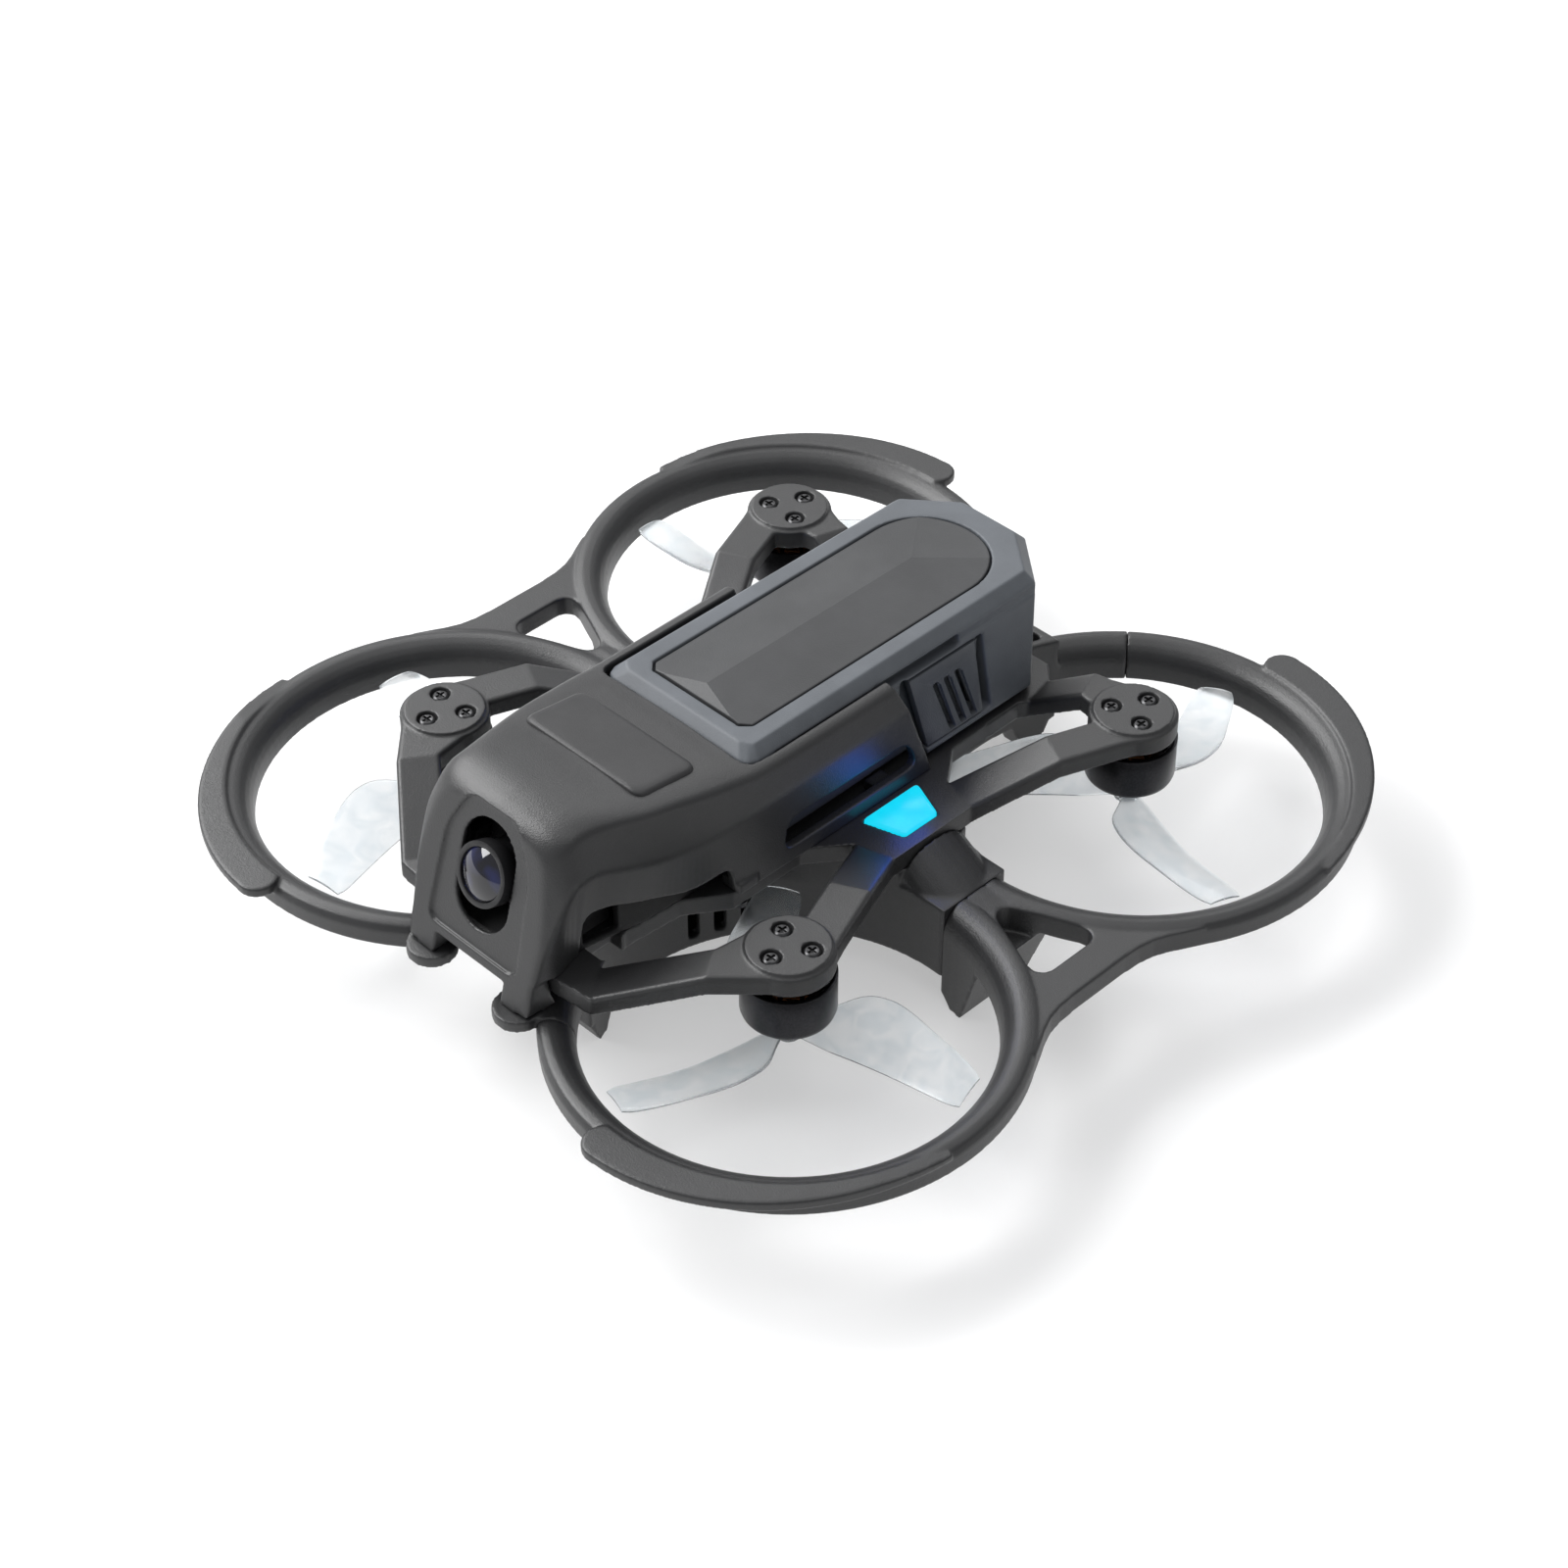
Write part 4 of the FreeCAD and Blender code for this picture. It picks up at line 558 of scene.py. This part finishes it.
# Openings in each side wall, as depth and height.
SIDE_OPENING = [(-31.8, 22.0), (-33.6, 32.6), (-41.0, 30.4), (-50.0, 32.4), (-54.0, 34.2), (-59.6, 35.2),
                (-60.2, 22.0)]
SIDE_SLOT = [(-22.6, 29.4), (-21.6, 35.2), (6.0, 35.2), (8.2, 29.4)]

BAY_HALF_WIDTH = 17.3
BAY_FRONT = -26.5
BAY_BACK = 20.0
# Side view of what the raked tail end of the hood leaves out.
RAKE = [(3.3, 50.0), (14.0, 20.0), (40.0, 20.0), (40.0, 60.0), (0.0, 60.0)]
COLUMN_FRONT = -73.0
COLUMN_INNER = 8.0
TAB_DEPTHS = (-30.5, 2.0)

RIM_PASSES = 36
RIM_DEPTH = 3.6
RIM_MARGIN = 0.7


def hood_half(y, wall, floor):
    """The +x half of one cross-section of the hood, crown first, set in by the wall thickness."""
    crown, edge_x, edge_z, crease_x, crease_z, foot_x = spline(HOOD, y)
    drop = crown - edge_z
    middle = (0.0, crown - wall)
    flank = (edge_x * FLANK_X, crown - wall - drop * FLANK_DROP)
    shoulder = (edge_x * SHOULDER_X - wall * 0.6, crown - wall - drop * SHOULDER_DROP)
    edge = (edge_x - wall, edge_z - wall)
    crease = (crease_x - wall, crease_z)
    foot = (foot_x - wall, floor)
    return rounded([middle, flank, shoulder, edge, crease, foot], HOOD_RADII, 5)


def hood_ring(y, wall, floor):
    half = hood_half(y, wall, floor)
    ring = [(x, y, z) for x, z in half]
    return ring + [(-x, y, z) for x, z in half[:0:-1]]


def hood_height(x, y):
    """Height of the hood's outer skin above a point on the deck."""
    half = hood_half(y, 0.0, 0.0)
    across = abs(x)
    for (low_x, low_z), (high_x, high_z) in zip(half, half[1:]):
        if low_x <= across <= high_x:
            return low_z + (high_z - low_z) * (across - low_x) / max(high_x - low_x, 0.0001)
    return half[-1][1]


def hood_skin(name, first, last, wall, floor):
    steps = int(abs(last - first) / RING_SPACING) + 1
    depths = [first + (last - first) * step / steps for step in range(steps + 1)]
    return loft(name, [hood_ring(y, wall, floor) for y in depths])


def face_depth(z, setback=0.0):
    """Where the leaning face stands at a height, moved back by the setback."""
    return FACE_CENTRE.y + setback + (z - FACE_CENTRE.z) * math.tan(FACE_LEAN)


def before_face(name, setback=0.0):
    """Everything in front of the leaning face."""
    bottom, top, front = 10.0, 70.0, -99.0
    outline = [(face_depth(bottom, setback), bottom), (face_depth(top, setback), top), (front, top),
               (front, bottom)]
    return prism(name, outline, X_AXIS, *SIDEWAYS)


def face_prism(name, outline, start, end):
    """An outline drawn on the leaning face, pushed along its normal."""
    rings = []
    for along in (start, end):
        ring = []
        for across, up in outline:
            point = FACE_CENTRE + FACE_UP * up + FACE_OUT * along
            ring.append((across, point.y, point.z))
        rings.append(ring)
    return loft(name, rings)


def stadium(radius, half_straight, steps=14):
    """Outline of two half circles joined by straight sides."""
    turns = [math.pi * step / steps for step in range(steps + 1)]
    upper = [(radius * math.cos(turn), half_straight + radius * math.sin(turn)) for turn in turns]
    return upper + [(-x, -y) for x, y in upper]


def panel_half_width(z):
    """Half width of the nose panel at a height; above its top the whole face counts as rim."""
    bottom, shoulder, top = 25.7, 42.9, 50.3
    lower_taper, upper_taper = 0.058, 0.514
    if z > top:
        return -1.0
    if z < shoulder:
        return 10.4 - (z - bottom) * lower_taper
    return 9.4 - (z - shoulder) * upper_taper


def round_nose(obj):
    """Extra smoothing of the rim around the nose panel and of the feet of the front columns."""
    mesh = bmesh.new()
    mesh.from_mesh(obj.data)
    rim = []
    for vertex in mesh.verts:
        x, y, z = vertex.co / MM
        if y - face_depth(z) < RIM_DEPTH and abs(x) > panel_half_width(z) + RIM_MARGIN:
            rim.append(vertex)
    for _ in range(RIM_PASSES):
        bmesh.ops.smooth_vert(mesh, verts=rim, factor=0.5, use_axis_x=True, use_axis_y=True,
                              use_axis_z=True)
    mesh.to_mesh(obj.data)
    mesh.free()


def hood_shell():
    """The hood's skin, hollowed from below up to the wall of the nose face."""
    shell = hood_skin("fine_canopy", HOOD_FRONT, HOOD_BACK, 0.0, DECK_TOP)
    cavity = hood_skin("cavity", HOOD_FRONT, HOOD_BACK + 1.0, HOOD_WALL, DECK_TOP - 6.0)
    combine(cavity, "DIFFERENCE", before_face("cavity_face", FACE_WALL))
    return combine(shell, "DIFFERENCE", cavity)


def front_column(side):
    """Column under a front corner of the hood, from its foot on the landing pad upwards."""
    low, high = sorted((side * COLUMN_INNER, side * 14.4))
    foot_low, foot_high = sorted((side * COLUMN_INNER, side * 14.2))
    rings = []
    for first, last, back, z in ((foot_low, foot_high, -65.4, 20.2), (low, high, -66.4, 23.0),
                                 (low, high - 0.3, -66.8, 29.0)):
        rings.append([(first, COLUMN_FRONT, z), (last, COLUMN_FRONT, z), (last, back, z), (first, back, z)])
    return loft("column", rings)


def deck_tabs(side):
    """Tabs inside the foot of the side wall that rest on the deck."""
    low, high = sorted((side * 17.4, side * 21.8))
    bottom, top = DECK_TOP + 0.02, DECK_TOP + 2.0
    return [box("tab", (low, y - 2.0, bottom), (high, y + 2.0, top)) for y in TAB_DEPTHS]


def canopy():
    """Hood with battery bay, front columns, deck tabs, lens window, nose panel and side openings."""
    piece = hood_shell()
    bay = [(-BAY_HALF_WIDTH, BAY_FRONT), (BAY_HALF_WIDTH, BAY_FRONT), (BAY_HALF_WIDTH, BAY_BACK),
           (-BAY_HALF_WIDTH, BAY_BACK)]
    combine(piece, "DIFFERENCE", prism("bay", rounded_loop(bay, 2.8), Z_AXIS, *UPRIGHT),
            prism("rake", RAKE, X_AXIS, *SIDEWAYS))
    for side in (1, -1):
        combine(piece, "UNION", front_column(side), *deck_tabs(side))
    combine(piece, "UNION", box("chin", (-8.6, COLUMN_FRONT, 24.0), (8.6, -68.2, 27.6)))
    combine(piece, "DIFFERENCE", before_face("face"),
            face_prism("window", stadium(WINDOW_RADIUS, WINDOW_STRAIGHT), -6.0, 6.0),
            face_prism("inset", rounded_loop(PANEL, 2.4), -PANEL_DEPTH, 6.0),
            prism("opening", rounded_loop(SIDE_OPENING, 2.2), X_AXIS, *SIDEWAYS),
            prism("slot", rounded_loop(SIDE_SLOT, 2.6), X_AXIS, *SIDEWAYS))
    soften(piece, 0.24, 5, 0.35, round_nose)
    settle(piece, "canopy")


def badge():
    """Blank raised plate with rounded, chamfered edges that follows the crown of the hood."""
    half_width, front, back, middle_y = 13.5, -46.0, -33.4, -39.8
    corners = [(-half_width, back), (half_width, back), (half_width, front), (-half_width, front)]
    outline = rounded_loop(corners, 2.2, 6)
    root, step, chamfer, top = -0.5, 0.12, 0.62, 0.66
    rings = []
    for scale, lift in ((1.0, root), (1.0, step), (0.985, 0.42), (0.95, chamfer), (0.85, top), (0.7, top),
                        (0.5, top), (0.3, top), (0.1, top)):
        ring = []
        for x, y in outline:
            place_x = x * scale
            place_y = middle_y + (y - middle_y) * scale
            ring.append((place_x, place_y, hood_height(place_x, place_y) + lift))
        rings.append(ring)
    piece = loft("fine_badge_plate", rings)
    smooth(piece, MACHINED_CREASE)
    settle(piece, "badge_plate")


canopy()
badge()


# ---------------------------------------------------------------- propellers

# Distance out, trailing edge sideways and height, leading edge sideways and height.
BLADE = [
    (0.8, -0.9, -0.8, 1.2, 0.6),
    (4.5, -0.7, -1.0, 5.2, 1.7),
    (8.0, -0.4, -1.4, 9.2, 2.8),
    (12.0, 0.0, -1.5, 10.7, 3.0),
    (16.0, 0.3, -1.6, 10.6, 2.5),
    (21.0, 0.3, -1.5, 9.5, 1.7),
    (26.0, 0.0, -1.2, 8.3, 1.0),
    (29.6, -0.2, -0.9, 7.1, 0.5),
    (31.2, 0.2, -0.8, 6.1, 0.3),
]
BLADES = 3
BLADE_PLANE = 16.5
BLADE_REACH = 31.6
BLADE_STATIONS = 30
CHORD_STEPS = 11
CAMBER = 1.5
# Half thickness at a blade's edges and in its belly, the belly's gain at the root and its loss at the tip.
EDGE_HALF = 0.11
BELLY_HALF = 0.30
ROOT_GAIN = 1.25
TIP_LOSS = 0.5
HUB_RADIUS = 2.2
HUB_BOTTOM = 14.5
HUB_TOP = 19.28
BORE_RADIUS = 0.76


def mount_centre(label):
    """A motor's axis in metres, read from the CAD shaft."""
    low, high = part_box("motor_shaft_" + label)
    return (low.x + high.x) / 2.0, (low.y + high.y) / 2.0


def blade_ring(out, spin):
    """Section of a blade at a distance from the axis: a cambered chord, thinner towards the tip."""
    trail_x, trail_z, lead_x, lead_z = spline(BLADE, out)
    upper = []
    lower = []
    for step in range(CHORD_STEPS + 1):
        share = 0.5 - 0.5 * math.cos(math.pi * step / CHORD_STEPS)
        across = trail_x + (lead_x - trail_x) * share
        camber = CAMBER * share * (1.0 - share)
        middle = BLADE_PLANE + trail_z + (lead_z - trail_z) * share + camber
        belly = BELLY_HALF * math.sqrt(max(share * (1.0 - share), 0.0))
        half = EDGE_HALF + belly * (ROOT_GAIN - TIP_LOSS * out / BLADE_REACH)
        upper.append((out, spin * across, middle + half))
        lower.append((out, spin * across, middle - half))
    return upper + lower[::-1]


def propeller(label):
    """Bored hub with its blades, each a turned copy of the first."""
    spin, first_angle = PROPELLERS[label]
    section = [(BORE_RADIUS, HUB_BOTTOM), (HUB_RADIUS, HUB_BOTTOM), (HUB_RADIUS, HUB_TOP),
               (BORE_RADIUS, HUB_TOP)]
    hub = lathe("fine_propeller_" + label, rounded_loop(section, 0.35))
    root, tip = BLADE[0][0], BLADE[-1][0]
    outs = [root + (tip - root) * (station / BLADE_STATIONS) for station in range(BLADE_STATIONS + 1)]
    for index in range(BLADES):
        blade = loft("blade", [blade_ring(out, spin) for out in outs])
        angle = math.radians(first_angle + 360.0 / BLADES * index)
        blade.data.transform(Matrix.Rotation(angle, 4, "Z"))
        combine(hub, "UNION", blade)
    combine(hub, "DIFFERENCE", cylinder("bore", BORE_RADIUS, 13.0, 21.0, steps=32))
    centre_x, centre_y = mount_centre(label)
    hub.data.transform(Matrix.Translation((centre_x, centre_y, 0.0)))
    smooth(hub, MOULDED_CREASE)
    settle(hub, "propeller_" + label)


for label in PROPELLERS:
    propeller(label)


# ---------------------------------------------------------------- mouldings that keep the CAD shape

DUCT_CENTRE = 40.4
DUCT_KEEP_OUT = 38.8
PAD_X = 10.3
PAD_Y = -69.8
PAD_CUT_RADIUS = 4.8
# Inner and outer x of the dark plate behind each side opening, put there as painted shade so that the opening
# reads dark.
SHADE_PLATE_INNER = 10.7
SHADE_PLATE_OUTER = 11.4
GROOVE = [(-20.0, 43.4), (-20.0, 45.6), (23.0, 45.6), (23.0, 43.4)]
GROOVE_INNER = 14.4
GRIP_STARTS = (15.6, 18.2, 20.8)
GRIP_TOP = 39.6
GRIP_BOTTOM = 29.6
GRIP_WIDTH = 1.5
GRIP_RAKE = 2.7


def chassis():
    """Softened lower chassis with the landing pads of the canopy columns thinned to plates."""
    piece = copy_of("lower_chassis")
    for side in (1, -1):
        waste = cylinder("waste", PAD_CUT_RADIUS, 10.0, 18.0, side * PAD_X, PAD_Y, steps=48)
        duct = cylinder("duct", DUCT_KEEP_OUT, 0.0, 30.0, side * DUCT_CENTRE, -DUCT_CENTRE, steps=96)
        combine(piece, "DIFFERENCE", combine(waste, "DIFFERENCE", duct))
    soften(piece, 0.34, 4)
    settle(piece, "lower_chassis")


def housing():
    """Softened inner housing with a thin dark plate behind the opening in each side wall, put there as
    painted shade so that the opening reads dark.
    """
    piece = copy_of("inner_housing")
    # Dark plates as painted shade, one inside each side opening.
    for low, high in ((SHADE_PLATE_INNER, SHADE_PLATE_OUTER), (-SHADE_PLATE_OUTER, -SHADE_PLATE_INNER)):
        combine(piece, "UNION", box("shade_plate", (low, -60.2, 26.9), (high, -51.0, 38.0)))
    soften(piece, 0.24, 3)
    settle(piece, "inner_housing")


def grip_slots(name):
    """Three raked slots on each side, cut through the latch plates and into the battery behind them."""
    slots = []
    for start in GRIP_STARTS:
        foot = start + GRIP_RAKE
        outline = rounded_loop([(start, GRIP_TOP), (start + GRIP_WIDTH, GRIP_TOP),
                                (foot + GRIP_WIDTH, GRIP_BOTTOM), (foot, GRIP_BOTTOM)], 0.6)
        for low, high in ((13.5, 24.0), (-24.0, -13.5)):
            slots.append(prism(name, outline, X_AXIS, low, high))
    return slots


def battery():
    """Battery shell with rounded upright front corners and a groove along each side."""
    piece = copy_of("battery_case")
    centre_x, centre_y, radius = 14.0, -22.8, 3.0
    beyond_x, beyond_y = 17.8, -27.0
    for side in (1, -1):
        arc = [(side * (centre_x + radius * math.cos(math.radians(angle))),
                centre_y - radius * math.sin(math.radians(angle))) for angle in range(0, 91, 10)]
        square = [(side * centre_x, beyond_y), (side * beyond_x, beyond_y), (side * beyond_x, centre_y)]
        combine(piece, "DIFFERENCE", prism("corner", square + arc, Z_AXIS, *UPRIGHT))
    groove = rounded_loop(GROOVE, 1.0)
    combine(piece, "DIFFERENCE", prism("groove", groove, X_AXIS, GROOVE_INNER, 20.0),
            prism("groove", groove, X_AXIS, -20.0, -GROOVE_INNER), *grip_slots("pocket"))
    soften(piece, 0.26, 4)
    settle(piece, "battery_case")


def light_guide(node, side):
    """Lit wedge with rounded corners and a domed edge, standing a little proud of the deck."""
    corners = [(22.9, -6.2), (30.5, -3.9), (30.5, 3.9), (22.9, 7.0)]
    middle_x, middle_y = 26.7, 0.2
    rings = []
    for scale, height in ((1.0, 24.0), (1.0, 26.6), (0.97, 26.86), (0.90, 27.08)):
        outline = [(middle_x + (x - middle_x) * scale, middle_y + (y - middle_y) * scale) for x, y in corners]
        rings.append([(side * x, y, height) for x, y in rounded_loop(outline, 1.1 * scale, 6)])
    piece = loft("fine_" + node, rings)
    smooth(piece, MACHINED_CREASE)
    settle(piece, node)


def latch(node):
    """Latch with its grip slots cut right through."""
    piece = combine(copy_of(node), "DIFFERENCE", *grip_slots("grip"))
    bevel(piece, 0.2, 2, 30.0)
    smooth(piece, MACHINED_CREASE)
    settle(piece, node)


# Node, voxel and smoothing passes; then node and bevel width.
MOULDED_NODES = (("duct_pair_left", 0.28, 5), ("duct_pair_right", 0.28, 5), ("motor_frame", 0.25, 4))
BEVELLED_NODES = (("camera_bracket", 0.25), ("camera_body", 0.4), ("lens_barrel", 0.25),
                  ("battery_socket", 0.2), ("usb_port", 0.1), ("motor_screws", 0.07),
                  ("flight_board", 0.08), ("video_board", 0.08))

chassis()
housing()
battery()
latch("battery_latch_left")
latch("battery_latch_right")
light_guide("light_guide_left", 1)
light_guide("light_guide_right", -1)
for node, voxel, passes in MOULDED_NODES:
    moulded_copy(node, voxel, passes)
for node, width in BEVELLED_NODES:
    refined(node, width)
refined("battery_inlay", 0.2, angle=40.0, crease=8.0)
for label in PROPELLERS:
    refined("bell_" + label, 0.2)
    refined("windings_" + label, 0.3, 3)


# ---------------------------------------------------------------- floor, lights and camera

# These places and sizes are in metres.
FLOOR_REACH = 3.0
AIM = (0.0, 0.0, 0.02)
# Place, size and power of each square lamp; all of them point at the aim.
LAMPS = {
    "key": ((-0.90, -0.66, 0.98), 0.80, 22.0),
    "left": ((-1.00, 0.10, 0.92), 0.80, 14.0),
    "back": ((-0.55, 0.85, 0.85), 0.62, 2.5),
    "top": ((0.15, 0.10, 1.3), 1.1, 4.0),
}
GLOW_COLOUR = (0.0, 0.10, 1.0)
CAMERA_PLACE = (0.307605, -0.307193, 0.389073)
CAMERA_DOWN = 40.565
CAMERA_TURN = 45.149
FOCAL_LENGTH = 77.8


def floor():
    """Pale flat floor that glows a little, so that shadows stay light."""
    mesh = bpy.data.meshes.new("floor")
    corners = [(x * FLOOR_REACH, y * FLOOR_REACH, 0.0) for x, y in ((-1, -1), (1, -1), (1, 1), (-1, 1))]
    mesh.from_pydata(corners, [], [(0, 1, 2, 3)])
    plane = link("floor", mesh)
    material, tree, shader = new_material("floor")
    shader.inputs["Roughness"].default_value = 0.85
    shader.inputs["Specular IOR Level"].default_value = 0.2
    cloud = add_noise(tree, 3.0)
    tint = ramp_between(tree, cloud, (0.50, 0.50, 0.502, 1.0), (0.52, 0.52, 0.52, 1.0))
    tree.links.new(tint, shader.inputs["Base Color"])
    shader.inputs["Emission Color"].default_value = (1.0, 1.0, 1.0, 1.0)
    shader.inputs["Emission Strength"].default_value = 0.42
    mesh.materials.append(material)


def area_light(name, place, size, power):
    data = bpy.data.lights.new(name, "AREA")
    data.shape = "SQUARE"
    data.size = size
    data.energy = power
    lamp = link(name, data)
    lamp.location = place
    aim = Vector(AIM) - Vector(place)
    lamp.rotation_euler = aim.to_track_quat("-Z", "Y").to_euler()


def glow(side):
    """Small lamp that spills the colour of a light guide on the parts beside it."""
    data = bpy.data.lights.new("glow", "POINT")
    data.energy = 0.0019
    data.color = GLOW_COLOUR
    data.shadow_soft_size = 0.004
    lamp = link("glow", data)
    lamp.location = (side * 0.0290, 0.0, 0.0306)


def studio():
    """Pale surroundings and the lamps."""
    world = bpy.data.worlds.new("studio")
    bpy.context.scene.world = world
    world.use_nodes = True
    background = world.node_tree.nodes["Background"]
    background.inputs["Color"].default_value = (0.97, 0.98, 1.0, 1.0)
    background.inputs["Strength"].default_value = 0.46
    for name, (place, size, power) in LAMPS.items():
        area_light(name, place, size, power)
    for side in (1, -1):
        glow(side)


def camera():
    data = bpy.data.cameras.new("camera")
    data.lens = FOCAL_LENGTH
    data.sensor_width = 36.0
    data.clip_start = 0.01
    view = link("camera", data)
    view.location = CAMERA_PLACE
    view.rotation_euler = (math.radians(90.0 - CAMERA_DOWN), 0.0, math.radians(CAMERA_TURN))
    bpy.context.scene.camera = view


bpy.context.scene.view_settings.view_transform = "Standard"
floor()
studio()
camera()
